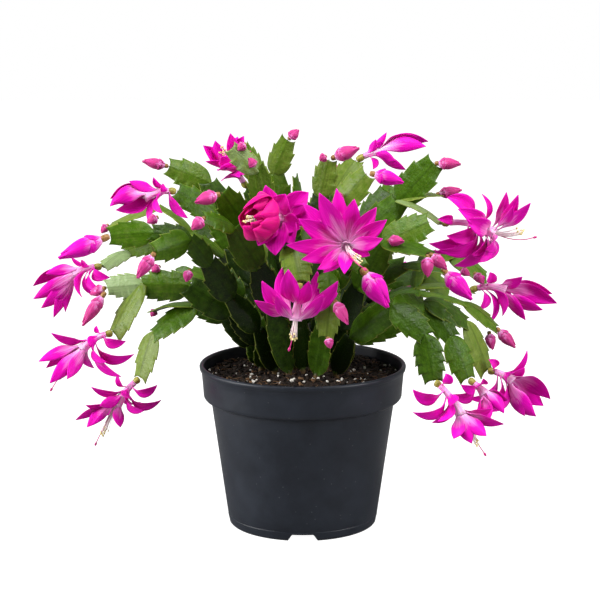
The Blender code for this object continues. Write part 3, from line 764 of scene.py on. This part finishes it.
def makeStems():
    bristles = Heap()
    for order, (name, chains) in enumerate([*stems.items(), ("inner_shoots", innerShoots)]):
        dice = random.Random(100 + order)
        inner = name not in stems
        heap = Heap()
        starts = {tuple(chain[0]) for chain in chains[1:]}
        for chain in chains:
            rooted = len(chain[0]) == 2
            if rooted:
                x, y = chain[0]
                first = np.array((x, y, float(mixHeight(x, y)) + segment["footStub"]))
            else:
                first = np.array(chain[0], float)
            joints = [first] + [np.array(j[:3], float) for j in chain[1:]]
            level = 0.0 if rooted else 0.35
            for n, (start, end) in enumerate(zip(joints, joints[1:])):
                axes = segmentAxes(start, end, chain[n + 1][3])
                share = segment["youngWidths"][n] if rooted and n < len(segment["youngWidths"]) else 1.0
                length = np.linalg.norm(end - start)
                width = float(np.clip(segment["widthShare"] * length, *segment["widths"])) * share
                tone = level + (0.6 - level) * (n + 1) / len(joints) + dice.uniform(-0.22, 0.14)
                # Inner shoots are painted a quarter darker: painted shade at the heart of the plant.
                tone += sum(chain[n + 1][4:]) - 0.25 * inner
                # Segments deep in the crown are painted darker than those on its shell: painted shade where
                # the crown shades itself.
                depth = np.linalg.norm(((start + end) / 2 - segment["heart"]) / segment["heartReach"])
                tone -= segment["deepShade"] * (1.0 - float(smooth(depth, 0.25, 0.95)))
                last = n + 2 == len(joints) and tuple(chain[n + 1][:3]) not in starts
                if rooted and n == 0:
                    addFoot(heap, x, y, axes)
                old = inner or rooted and n < 2
                addSegment(heap, bristles, start, end, axes, width, tone, dice, last, 0.5 if old else 1.0)
        nodes = [] if inner else ["stem_" + name]
        piece = name if inner else "jointed_stem_" + name
        heap.make(piece, [skinMaterial], "cactus_green", *nodes)
    bristles.make("areole_bristles", [bristleMaterial], "cactus_green")


makeStems()
print("stems made")


# ---- flowers

# A point and a frame at each share of the way along a gently arched line. Turns round it start at the upper
# side and go by the side nearer the viewer; on a line that hangs, they start at the back and go by the right.
class Axis:
    def __init__(self, base, tip, arch, clear=1.5):
        start, finish = np.array(base, float), np.array(tip, float)
        start = start + unit(finish - start) * clear
        middle = (start + finish) / 2 + up * 2.0 * arch
        self.start, self.middle, self.finish = start, middle, finish
        chord = unit(finish - start)
        self.helper = up if abs(chord[2]) < 0.85 else -front
        self.length = np.linalg.norm(finish - start)

    def at(self, share):
        point = curve(self.start, self.middle, self.finish, share)
        along = unit((self.middle - self.start) * (1 - share) + (self.finish - self.middle) * share)
        over = unit(self.helper - (self.helper @ along) * along)
        near = np.cross(over, along)
        facing = near @ front if abs(near @ front) > 0.3 else near @ right
        return point, along, over, near if facing > 0 else -near


petal = {"rows": 18, "columns": 9, "thick": 0.17, "faceViewer": 0.6}


def bladeMarks(s, run, v, across, length, dice):
    grid = np.ones(across.shape)
    look = np.stack([grid * run, grid * np.abs(v), grid * dice.uniform(0.2, 1.0)], -1)
    return look, np.stack([across, grid * s * length, grid * dice.uniform(0.0, 500.0)], -1)


# A petal from the tube to its tip. A bow above 0 curls it outwards, one below 0 closes it like a cup; where
# none is given it follows the petal's lean. It twists on its claw, partly showing its broad side in front.
def addPetal(heap, axis, dice, radius, share, tip, width, bow=None, twist=None, skin=0, pale=0.0, cup=0.2):
    point, along, over, near = axis.at(share)
    tip = np.array(tip, float)
    aim = tip - point
    out = unit(aim - (aim @ along) * along + over * 1e-4)
    start = point + out * radius
    chord = tip - start
    length = np.linalg.norm(chord)
    lean = math.acos(max(-1.0, min(1.0, chord @ along / length)))
    if bow is None:
        bow = 0.26 * math.sin(lean) - 0.12 * math.cos(lean)
    bend = unit(along * math.sin(lean) - out * math.cos(lean))
    control = start + chord * 0.45 + bend * bow * length * 2.0
    t = np.linspace(0.0, 1.0, petal["rows"])
    s = t[:, None]
    middle = curve(start, control, tip, s)
    tangent = units((control - start) * (1 - s) + (tip - control) * s)
    flat = np.cross(along, out)
    if twist is None:
        face = np.cross(unit(chord), flat)
        turn = math.degrees(math.asin(max(-1.0, min(1.0, flat @ front))))
        twist = -turn * petal["faceViewer"] * (1.0 if face @ front > 0 else -1.0)
    swing = np.radians(twist) * smooth(s, 0.0, 0.45)
    plain = units(flat - tangent * (tangent @ flat)[:, None])
    side = plain * np.cos(swing) + np.cross(tangent, plain) * np.sin(swing)
    outward = np.cross(side, tangent)
    # A lance outline: a narrow claw, widest near the middle, then a drawn-out point.
    shape = (0.36 + 0.64 * smooth(t, 0.0, 0.5)) * (1.0 - np.clip((t - 0.5) / 0.5, 0.0, 1.0) ** 2.1)
    shape[-1] = 0.03
    half = shape[:, None] * width / 2
    v = np.linspace(-1.0, 1.0, petal["columns"])
    hollow = -cup * v * v * half * 1.6 + dice.uniform(-0.12, 0.12) * half * np.sin(v * 3.0 + s * 6.0)
    crease = -0.5 * cup * np.exp(-(v / 0.16) ** 2) * (1.0 - s)
    across = v * half
    base = middle[:, None] + side[:, None] * across[..., None]
    base = base + outward[:, None] * (hollow + crease)[..., None]
    thick = outward[:, None] * petal["thick"]
    addBlade(heap, base + thick, base - thick, *bladeMarks(s, s - pale, v, across, length, dice), skin)


# Rings round an axis with a radius at each share; lobes waves round it.
def axisRings(axis, shares, radii, sides, lobes=0, depth=0.0, phase=0.0):
    rings = []
    turn = turns(sides)
    swell = 1.0 + depth * np.cos(turn * lobes + phase)
    for share, radius in zip(shares, radii):
        point, along, over, near = axis.at(share)
        rings.append(point + (over * (np.cos(turn) * swell * radius)[:, None]
                              + near * (np.sin(turn) * swell * radius)[:, None]))
    return np.array(rings)


def ringMarks(rings, shares, tone, length):
    look = np.zeros(rings.shape)
    look[..., 0] = np.asarray(shares)[:, None]
    look[..., 2] = tone
    way = np.zeros(rings.shape)
    way[..., 0] = np.arange(rings.shape[1]) * 1.1
    way[..., 1] = np.asarray(shares)[:, None] * length
    way[..., 2] = tone * 300.0
    return look, way


# A closed scale that hugs a body of a given radius, with a pointed tip that may stand off a little.
def addScale(heap, axis, span, radiusOf, turn, spread, dice, lift, flare, pale):
    rows, columns = 14, 11
    t = np.linspace(0.0, 1.0, rows)
    v = np.linspace(-1.0, 1.0, columns)
    over, under = np.zeros((rows, columns, 3)), np.zeros((rows, columns, 3))
    across = np.zeros((rows, columns))
    for i, share in enumerate(t):
        place = span[0] + (span[1] - span[0]) * share
        point, along, top, near = axis.at(place)
        radius = radiusOf(place)
        opening = spread * (0.6 + 0.4 * float(smooth(share, 0.0, 0.4)))
        opening *= 1.0 - max(0.0, (share - 0.45) / 0.55) ** 2.2
        for j, w in enumerate(v):
            angle = math.radians(turn + w * opening)
            out = top * math.cos(angle) + near * math.sin(angle)
            stand = radius + lift * (1.0 - w * w) * (0.4 + share) + flare * share ** 4
            over[i, j] = point + out * (stand + 0.12)
            under[i, j] = point + out * (stand - 0.35)
            across[i, j] = w * radius * math.radians(opening)
    s = t[:, None]
    addBlade(heap, over, under, *bladeMarks(s, s + 0.25 - pale, v, across, axis.length, dice))


def addOvary(heap, axis, end, radius):
    shares = np.linspace(0.0, end, 8)
    t = shares / end
    radii = radius * (0.62 + 0.38 * np.sin(math.pi * np.clip(t, 0, 1) ** 0.8)) * (1.0 - 0.10 * t)
    rings = axisRings(axis, shares, radii, 15, 5, 0.07)
    addSkin(heap, rings, *ringMarks(rings, t, 0.5, axis.length), 1)


# The floral tube, open at its mouth: its outside, its lip, and its inside down to a floor.
def addTube(heap, axis, start, mouth, radii, dice):
    outer = np.linspace(start, mouth, 14)
    width = np.interp(outer, np.linspace(start, mouth, len(radii)), radii)
    inner = np.linspace(mouth, mouth - tube["throat"], 5)
    inside = np.interp(inner, np.linspace(start, mouth, len(radii)), radii) - tube["wall"]
    shares, widths = np.concatenate([outer, inner]), np.concatenate([width, inside])
    rings = axisRings(axis, shares, widths, 24, 6, 0.05, dice.uniform(0.0, 6.0))
    fade = np.interp(shares, (start, mouth), tube["fade"])
    look, way = ringMarks(rings, fade, dice.random(), axis.length)
    addSkin(heap, rings, look, way)


# Stamens in a loose bundle from the throat to a point, and the longer style among them.
stamens = {
    "count": 18, "fan": 2.6, "filament": 0.22, "style": 0.36, "rooted": 5.0,
    "antherReach": np.array((-0.2, 0.35, 1.0, 1.5))[:, None], "antherRadii": (0.2, 0.6, 0.55, 0.1),
    "stigmaReach": np.array((0.0, 0.9, 2.2, 3.0))[:, None], "stigmaRadii": (0.45, 0.95, 0.8, 0.15),
}


def addStamens(heap, axis, bundle, stylus, dice):
    point, along, over, near = axis.at(1.0)
    goal = np.array(bundle, float)
    for n in range(stamens["count"]):
        turn = math.tau * n / stamens["count"] + dice.uniform(-0.2, 0.2)
        spread = over * math.cos(turn) + near * math.sin(turn)
        start = point - along * stamens["rooted"] + spread * 1.3
        finish = start + (goal - start) * dice.uniform(0.72, 1.0)
        finish = finish + spread * stamens["fan"] * dice.uniform(0.3, 1.0)
        middle = start + along * 0.5 * np.linalg.norm(finish - start)
        path = curve(start, middle, finish, np.linspace(0.0, 1.0, 5)[:, None])
        addRod(heap, path, [stamens["filament"]] * 5, 5, 0, dice.random())
        way = unit(path[-1] - path[-2])
        addRod(heap, finish + way * stamens["antherReach"], stamens["antherRadii"], 6, 1, dice.random())
    if stylus is not None:
        start, finish = point - along * stamens["rooted"], np.array(stylus, float)
        middle = start + along * 0.6 * np.linalg.norm(finish - start)
        path = curve(start, middle, finish, np.linspace(0.0, 1.0, 8)[:, None])
        addRod(heap, path, [stamens["style"]] * 8, 7, 2)
        way = unit(path[-1] - path[-2])
        addRod(heap, finish + way * stamens["stigmaReach"], stamens["stigmaRadii"], 7, 2)


tube = {
    "radii": (2.3, 2.2, 2.6, 3.4, 4.2), "ovary": 6.5, "ovaryRadius": 2.7, "wall": 0.45,
    "throat": 0.07, "fade": (0.26, 0.12),
}

# Each blossom: where its ovary starts, the mouth of its tube, the tube's arch, and its petals, each as the
# share of the tube where it leaves, the x, y and z of its tip, its width and, where that matters, its bow.
blossoms = {
    "left_top": ((-90, -10, 249), (-114, -16, 246), 2, (
        (0.8, -138, -18, 245, 12, -0.16), (0.9, -138, -22, 240, 12, -0.16),
        (0.85, -135, -16, 247, 11, -0.14), (0.9, -136, -25, 243, 13, -0.16),
        (0.85, -134, -15, 241, 12, -0.16), (0.7, -134, -20, 237, 11, -0.12), (0.55, -124, -21, 258, 9),
        (0.35, -107, -15, 260, 6), (0.25, -101, -20, 255, 6), (0.35, -110, -22, 227, 7),
        (0.2, -82, -26, 232, 8, 0.1), (0.45, -100, -28, 236, 8))),
    "left_side": ((-146, 6, 191), (-168, 1, 186), 2, (
        (0.95, -197, -2, 178, 10, -0.12), (0.95, -196, -10, 170, 11, -0.12),
        (1.0, -190, -14, 164, 11, -0.06), (0.9, -181, -14, 157, 11), (0.85, -173, -8, 160, 9),
        (0.9, -190, 8, 174, 10, -0.1), (0.9, -180, 10, 166, 10), (0.75, -187, -6, 188, 9, -0.06),
        (0.5, -169, 2, 199, 4.5), (0.4, -161, -4, 198, 5), (0.25, -140, -10, 186, 9),
        (0.3, -145, -14, 176, 8), (0.45, -151, -8, 172, 5), (0.55, -160, -14, 172, 8))),
    "left_middle": ((-135, -38, 151), (-158, -44, 140), 3, (
        (0.7, -179, -48, 153, 9), (0.95, -188, -52, 133, 10, -0.05), (1.0, -180, -56, 118, 11, -0.08),
        (0.95, -172, -40, 121, 9), (0.9, -167, -60, 122, 10), (0.9, -184, -42, 126, 9, -0.05),
        (0.75, -129, -56, 123, 9, 0.12), (0.6, -120, -50, 138, 9), (0.3, -126, -48, 147, 8),
        (0.35, -147, -42, 157, 4.5), (0.55, -139, -58, 134, 9), (0.45, -152, -54, 146, 8),
        (0.85, -150, -34, 124, 9))),
    "left_bottom": ((-121, 18, 105), (-139, 11, 85), 2, (
        (0.45, -137, 12, 109, 5), (0.55, -157, 8, 100, 8), (0.9, -161, 4, 87, 9),
        (1.0, -169, 6, 75, 9, -0.04), (1.0, -160, 0, 71, 10, -0.06), (0.35, -108, 10, 101, 8),
        (0.55, -105, 8, 90, 8), (0.6, -117, 0, 84, 9), (0.9, -135, 0, 71, 10), (0.95, -152, 20, 76, 9),
        (0.45, -128, 0, 93, 9), (0.7, -150, -2, 88, 9), (0.6, -122, 26, 84, 8))),
    "top_left": ((-41, 38, 244), (-51, 30, 262), 0, (
        (0.9, -73, 24, 278, 12), (1.0, -64, 20, 282, 13), (1.0, -53, 24, 287, 12),
        (0.9, -43, 24, 285, 12), (0.85, -59, 14, 271, 14), (0.75, -50, 12, 264, 14),
        (0.65, -42, 14, 258, 13), (0.8, -71, 18, 267, 10), (0.8, -62, 12, 261, 11),
        (0.75, -38, 22, 274, 9), (0.5, -34, 26, 260, 8), (0.45, -60, 20, 252, 9), (0.55, -46, 12, 256, 9),
        (0.9, -48, 44, 282, 9), (0.85, -66, 40, 272, 9))),
    "front_red": ((2, -46, 228), (-23, -70, 240), 2, (
        (0.95, -44, -88, 243, 22, -0.34), (0.95, -41, -86, 248, 22, -0.36),
        (0.95, -34, -87, 249, 22, -0.36), (0.95, -29, -91, 245, 22, -0.36),
        (0.95, -29, -93, 239, 22, -0.36), (0.95, -34, -93, 235, 22, -0.34),
        (0.95, -41, -91, 237, 22, -0.34), (0.95, -40, -86, 244, 15, -0.3),
        (0.95, -34, -88, 243, 15, -0.3), (0.95, -36, -90, 239, 15, -0.3), (0.6, -26, -62, 261, 14, 0.1),
        (0.5, 4, -62, 256, 17, 0.1), (0.45, 8, -66, 243, 16, 0.1), (0.6, -19, -76, 214, 19, 0.1),
        (0.5, -6, -76, 222, 17, 0.1), (0.7, -12, -70, 256, 17, 0.1), (0.7, -31, -72, 220, 16, 0.1),
        (0.65, -2, -72, 232, 15, 0.1))),
    "front_big": ((33, -58, 217), (30, -90, 222), 3, (
        (0.95, 28, -114, 208, 11, 0.06), (0.75, 20, -94, 207, 10, 0.1), (0.9, 14, -104, 207, 11, 0.08),
        (0.9, 11, -98, 261, 14, 0.06), (0.85, 35, -92, 256, 13, 0.08), (0.95, 50, -97, 251, 12, 0.06),
        (0.9, 57, -101, 243, 12, 0.06), (0.95, 54, -107, 231, 11, 0.06), (0.9, -11, -104, 226, 12, 0.06),
        (0.85, -3, -97, 243, 14, 0.06), (0.95, -1, -109, 217, 12, 0.06), (1.0, 10, -113, 211, 11, 0.06),
        (0.8, 0, -84, 252, 11, 0.1), (0.8, 23, -84, 262, 11, 0.1), (0.8, 45, -86, 240, 11, 0.1),
        (0.7, 46, -88, 216, 9, 0.12))),
    "front_hanging": ((-2, -86, 198), (-5, -92, 171), 0, (
        (0.85, -28, -97, 200, 13, 0.06), (0.5, -10, -102, 209, 14, 0.12), (0.85, 24, -97, 200, 13, 0.06),
        (0.8, -33, -100, 187, 11, 0.05), (0.55, 4, -98, 200, 10, 0.1), (0.8, 24, -88, 190, 10, 0.06),
        (0.95, 14, -104, 192, 10, 0.06), (0.95, -18, -106, 192, 10, 0.06), (0.8, -14, -78, 206, 12, 0.1),
        (0.8, 10, -76, 203, 12, 0.1))),
    "top_right": ((39, 42, 264), (60, 40, 271), 2, (
        (0.85, 93, 40, 279, 12, -0.14), (0.85, 91, 34, 276, 12, -0.14), (0.85, 88, 47, 280, 11, -0.14),
        (0.8, 84, 38, 283, 11, -0.1), (0.7, 76, 32, 259, 9, -0.02), (0.5, 62, 38, 286, 6),
        (0.4, 54, 36, 281, 6), (0.4, 52, 34, 259, 7), (0.6, 68, 30, 266, 9))),
    "right_top": ((100, 0, 224), (139, -10, 218), 4, (
        (0.95, 155, -12, 247, 11, 0.04), (0.9, 147, -6, 248, 10, 0.06), (1.0, 164, -12, 241, 11, 0.02),
        (0.95, 150, -22, 240, 11, 0.06), (0.55, 104, -6, 244, 13), (0.7, 129, -8, 247, 5),
        (0.2, 97, -12, 229, 7), (0.5, 91, -16, 212, 11), (0.5, 92, -4, 205, 6), (0.7, 109, -18, 196, 12),
        (0.9, 134, -16, 200, 11), (0.8, 121, -24, 205, 11), (0.6, 113, 6, 208, 9),
        (0.85, 117, -24, 231, 14), (0.95, 131, -28, 210, 12), (0.6, 103, -24, 219, 13),
        (0.75, 111, -22, 238, 12), (0.8, 126, -26, 200, 12), (0.7, 98, -20, 208, 11))),
    "right_side": ((123, 22, 170), (150, 16, 171), 3, (
        (0.9, 188, 14, 162, 14, -0.08), (0.9, 177, 9, 158, 13, -0.06), (0.9, 185, 20, 168, 12, -0.1),
        (0.8, 164, 6, 151, 12), (0.75, 162, 14, 182, 12, 0.06), (0.45, 138, 16, 185, 10),
        (0.4, 138, 12, 147, 6), (0.6, 147, 6, 154, 11), (0.25, 128, 12, 183, 7), (0.3, 130, 10, 158, 8),
        (0.75, 152, 28, 158, 10))),
    "right_low": ((133, -24, 120), (152, -29, 113), 2, (
        (0.9, 179, -33, 101, 15, -0.12), (0.95, 168, -41, 90, 15, -0.12), (0.9, 175, -26, 94, 14, -0.12),
        (0.9, 160, -40, 90, 12, -0.06), (0.6, 162, -28, 136, 6), (0.2, 134, -32, 130, 7),
        (0.7, 135, -40, 93, 9), (0.5, 126, -38, 94, 9), (0.4, 119, -34, 102, 9), (0.7, 160, -32, 124, 11),
        (0.6, 146, -42, 122, 10), (0.8, 150, -18, 96, 10))),
    "right_inner": ((118, -45, 119), (130, -52, 109), 1, (
        (0.5, 107, -56, 110, 10), (0.9, 143, -60, 97, 10), (0.95, 132, -66, 93, 10),
        (0.9, 122, -62, 97, 10), (0.85, 146, -54, 105, 9), (0.5, 112, -60, 118, 8),
        (0.45, 128, -58, 122, 8), (0.8, 126, -40, 96, 9))),
    "right_bottom": ((92, -72, 124), (111, -79, 101), 3, (
        (0.2, 100, -76, 130, 9), (0.35, 77, -78, 119, 11), (0.5, 77, -84, 104, 9),
        (0.95, 141, -82, 95, 10, 0.04), (0.9, 133, -76, 105, 10), (1.0, 128, -92, 89, 11, 0.02),
        (0.95, 105, -92, 87, 11), (1.0, 118, -90, 83, 11), (0.6, 94, -90, 99, 10), (0.6, 91, -74, 94, 9),
        (0.5, 106, -88, 112, 9), (0.85, 124, -66, 90, 9))),
    "back_left": ((-54, 152, 166), (-60, 175, 142), 3, ()),
    "back_right": ((64, 146, 168), (71, 169, 144), 3, ()),
    "back_middle": ((-6, 156, 196), (-3, 182, 178), 3, ()),
}
# Where the stamens and the style of a flower end, on those where they show.
stamenEnds = {
    "left_middle": ((-174, -50, 120), (-179, -49, 113)), "left_bottom": ((-150, 9, 62), (-154, 9, 57)),
    "top_left": ((-60, 20, 277), None), "front_red": ((-39, -89, 241), None),
    "front_big": ((38, -110, 216), (41, -115, 212)), "front_hanging": ((-7, -94, 158), (-9, -95, 153)),
    "right_top": ((159, -14, 220), (166, -15, 216)), "right_bottom": ((123, -84, 80), (127, -85, 75)),
    "back_left": ((-62, 183, 127), (-62, 185, 122)), "back_right": ((74, 178, 130), (74, 180, 125)),
    "back_middle": ((-2, 191, 164), (-2, 193, 160)),
}
# How many of the first petals are crimson.
crimsonPetals = {"front_red": 10}
# Where petals aren't placed one by one: share, how many, how far out, how far forward, width.
whorls = ((0.25, 4, 13, -5, 7), (0.50, 4, 17, -3, 9), (0.80, 5, 20, 1, 10), (1.0, 5, 12, 13, 10))


def whorlPetals(axis, dice):
    made = []
    for n, (share, count, outward, forward, width) in enumerate(whorls):
        for k in range(count):
            point, along, over, near = axis.at(share)
            turn = math.tau * (k + 0.5 * (n % 2)) / count + dice.uniform(-0.25, 0.25)
            size = dice.uniform(0.85, 1.1)
            out = over * math.cos(turn) + near * math.sin(turn)
            tip = point + out * outward * size + along * forward * size
            made.append((share, *tip, width, None, 0.0))
    return made


def makeBlossom(name, dice, base, mouth, arch, petals):
    axis = Axis(base, mouth, arch)
    heap = Heap()
    start = tube["ovary"] / axis.length
    addOvary(heap, axis, start, tube["ovaryRadius"])
    addTube(heap, axis, start * 0.85, 1.0, tube["radii"], dice)
    for n, (share, x, y, z, *size) in enumerate(petals or whorlPetals(axis, dice)):
        radius = 0.8 * float(np.interp(share, np.linspace(start, 1.0, 5), tube["radii"]))
        rosy = n < crimsonPetals.get(name, 0)
        pale = 0.0 if share > 0.7 and not rosy else -0.3
        addPetal(heap, axis, dice, radius, share, (x, y, z), *size, skin=2 * rosy, pale=pale,
                 cup=0.34 if rosy else 0.2)
    skins = [petalMaterial, ovaryMaterial, roseMaterial]
    heap.make("blossom_" + name, skins, "magenta_petal", "flower_" + name)
    if name in stamenEnds:
        bundle = Heap()
        addStamens(bundle, axis, *stamenEnds[name], dice)
        bundle.make("stamens_" + name, [filamentMaterial, antherMaterial, stigmaMaterial], "magenta_petal")


for order, (name, plan) in enumerate(blossoms.items()):
    makeBlossom(name, random.Random(400 + order), *plan)
print("flowers made")


# ---- buds

buds = {  # base, far end, greatest width, and whether it is about to open
    "left_peak": ((-100, 56, 258), (-120, 52, 263), 7.5),
    "left_large": ((-134, -66, 226), (-170, -74, 212), 12, True),
    "left_upper": ((-57, -61, 255), (-75, -68, 250), 9),
    "left_inner": ((-67, -76, 241), (-77, -80, 233), 8),
    "left_pointed": ((-102, -78, 217), (-115, -82, 199), 8.5),
    "left_pale": ((-141, -27, 182), (-154, -18, 175), 7),
    "left_long": ((-141, -31, 180), (-158, -38, 156), 8.5),
    "top_middle": ((-11, 22, 282), (-3, 22, 290), 7), "top_left": ((-34, -6, 265), (-39, -8, 273), 6.5),
    "top_right": ((20, 8, 270), (41, 4, 279), 9.5),
    "top_large": ((47, -22, 264), (72, -26, 258), 10, True),
    "right_peak": ((96, 22, 265), (116, 20, 265), 8), "right_upper": ((98, 34, 240), (118, 34, 244), 7.5),
    "right_small": ((59, -50, 220), (71, -58, 221), 7),
    "right_hanging": ((87, -62, 213), (87, -68, 197), 8),
    "right_sloping": ((88, -60, 213), (101, -64, 202), 8),
    "right_large": ((98, -44, 199), (120, -52, 178), 12, True),
    "right_low": ((141, -6, 148), (156, -6, 133), 8), "front_small": ((21, -94, 187), (31, -104, 171), 8),
    "front_large": ((41, -62, 203), (60, -70, 176), 15, True),
    "back": ((22, 112, 238), (28, 124, 250), 9),
}
# Buds too young to be in the frame, on the ends and shoulders of segments.
youngBuds = (
    ((-143, 25, 220), (-149, 24, 213), 5.5), ((-102, -30, 234), (-111, -32, 230), 6.5),
    ((-101, -32, 199), (-108, -34, 195), 5.5), ((-79, -60, 202), (-82, -64, 193), 6),
    ((-109, 33, 154), (-114, 34, 148), 5), ((-40, -8, 284), (-47, -10, 279), 6),
    ((18, 6, 273), (12, 4, 270), 6), ((24, -20, 237), (27, -22, 250), 8),
    ((17, -94, 161), (19, -95, 152), 5.5), ((114, 0, 191), (122, -2, 186), 5.5),
    ((125, 8, 187), (133, 6, 178), 6), ((136, -6, 146), (139, -6, 131), 7),
)


bud = {"neck": 0.24, "scales": 7, "outerScales": 3, "spread": 62}


def makeBud(name, nodes, dice, base, tip, width, ripe=False):
    axis = Axis(base, tip, 0.0, 0.8)
    heap = Heap()
    neck = bud["neck"]

    def radiusOf(place):
        t = min(max((place - neck * 0.5) / (1.0 - neck * 0.5), 0.0), 1.0)
        belly = 0.10 + 0.90 * math.sin(math.pi * t ** 0.76) ** 1.3
        return width / 2 * belly + 0.9 * (1.0 - t) * (t < 0.3)

    addOvary(heap, axis, neck, width * 0.19 + 0.3)
    shares = np.linspace(neck * 0.5, 1.0, 16)
    rings = axisRings(axis, shares, [radiusOf(s) * 0.92 for s in shares], 16)
    look, way = ringMarks(rings, 0.1 + shares * 0.8, dice.random(), axis.length)
    addSkin(heap, rings, look, way)
    # Short outer scales near the neck, long inner ones closing over each other to the tip.
    for n in range(bud["scales"]):
        outer = n < bud["outerScales"]
        span = (neck * 0.8 + 0.02 * n, 0.90 + 0.03 * (n - bud["outerScales"]))
        if outer:
            span = (neck * 0.6 + 0.02 * n, 0.42 + 0.02 * n)
        turn = (120 if outer else 90) * n + dice.uniform(-15, 15)
        flare = 0.9 if ripe and n < 4 else 0.1
        lift = width * (0.03 if outer else 0.05)
        addScale(heap, axis, span, radiusOf, turn, bud["spread"], dice, lift, flare, 0.15 if outer else 0.0)
    heap.make(name, [petalMaterial if ripe else budMaterial, budNeckMaterial], "pink_bud", *nodes)


for order, (name, plan) in enumerate(buds.items()):
    makeBud("closed_bud_" + name, ["bud_" + name], random.Random(600 + order), *plan)
for order, (name, plan) in enumerate(zip("abcdefghijkl", youngBuds)):
    makeBud("young_bud_" + name, [], random.Random(600 + len(buds) + order), *plan)
print("buds made")


# ---- floor, light and camera

studio = {
    "floorSize": 6.0, "seen": 1.0, "castFront": 0.08, "castSides": 0.4, "glow": 1.0,
    "softboxes": (  # name, place, power, size
        ("key_softbox", (-1.75, -0.6, 0.95), 39.0, 0.8), ("fill_softbox", (1.6, -0.8, 0.8), 30.0, 1.0),
        ("top_softbox", (0.1, -0.45, 1.6), 26.0, 0.8), ("side_softbox", (-1.5, -0.1, 0.2), 15.0, 0.6)),
    "eye": (-0.002, -1.525, 0.472), "pitch": 11.3, "lens": 127.44, "sensor": 36.0, "aim": (0.0, 0.0, 0.17),
}


def makeStudio():
    mesh = bpy.data.meshes.new("paper_floor")
    half = studio["floorSize"] / 2
    corners = [(-half, -half, 0), (half, -half, 0), (half, half, 0), (-half, half, 0)]
    mesh.from_pydata(corners, [], [(0, 1, 2, 3)])
    paper = makeSpeckled("pale_paper", "#848484", "#8C8C8C", 8.0, 0.9, ior=1.3)
    # The paper runs out to the white of the room, with no edge to be seen.
    tree = paper.node_tree
    seen = addNode(tree, "LightPath", "Is Camera Ray", {})
    glow = addNode(tree, "Math", 0, {0: seen, 1: studio["glow"]}, operation="MULTIPLY")
    shader = tree.nodes["Principled BSDF"]
    shader.inputs["Emission Color"].default_value = rgb("#FFFFFF")
    tree.links.new(glow, shader.inputs["Emission Strength"])
    mesh.materials.append(paper)
    link("paper_floor", mesh)
    world = bpy.data.worlds.new("white_room")
    world.use_nodes = True
    # The room shows white, and casts less light than it shows, least of all from its dark front.
    tree = world.node_tree
    way = addNode(tree, "TexCoord", "Generated", {})
    depth = addNode(tree, "SeparateXYZ", "Y", {0: way})
    cast = addRange(tree, depth, -0.9, 0.1, studio["castFront"], studio["castSides"])
    seen = addNode(tree, "LightPath", "Is Camera Ray", {})
    background = tree.nodes["Background"]
    background.inputs[0].default_value = rgb("#FFFFFF")
    tree.links.new(addRange(tree, seen, 0.0, 1.0, cast, studio["seen"]), background.inputs[1])
    scene = bpy.context.scene
    scene.world = world
    for name, place, power, size in studio["softboxes"]:
        lamp = bpy.data.lights.new(name, "AREA")
        lamp.energy = power
        lamp.size = size
        light = link(name, lamp)
        light.location = place
        light.rotation_euler = (Vector(studio["aim"]) - Vector(place)).to_track_quat("-Z", "Y").to_euler()
    camera = link("camera", bpy.data.cameras.new("camera"))
    camera.data.lens = studio["lens"]
    camera.data.sensor_width = studio["sensor"]
    camera.location = studio["eye"]
    camera.rotation_euler = (math.radians(90.0 - studio["pitch"]), 0.0, 0.0)
    scene.camera = camera
    scene.view_settings.view_transform = "Standard"


makeStudio()
print("studio made")
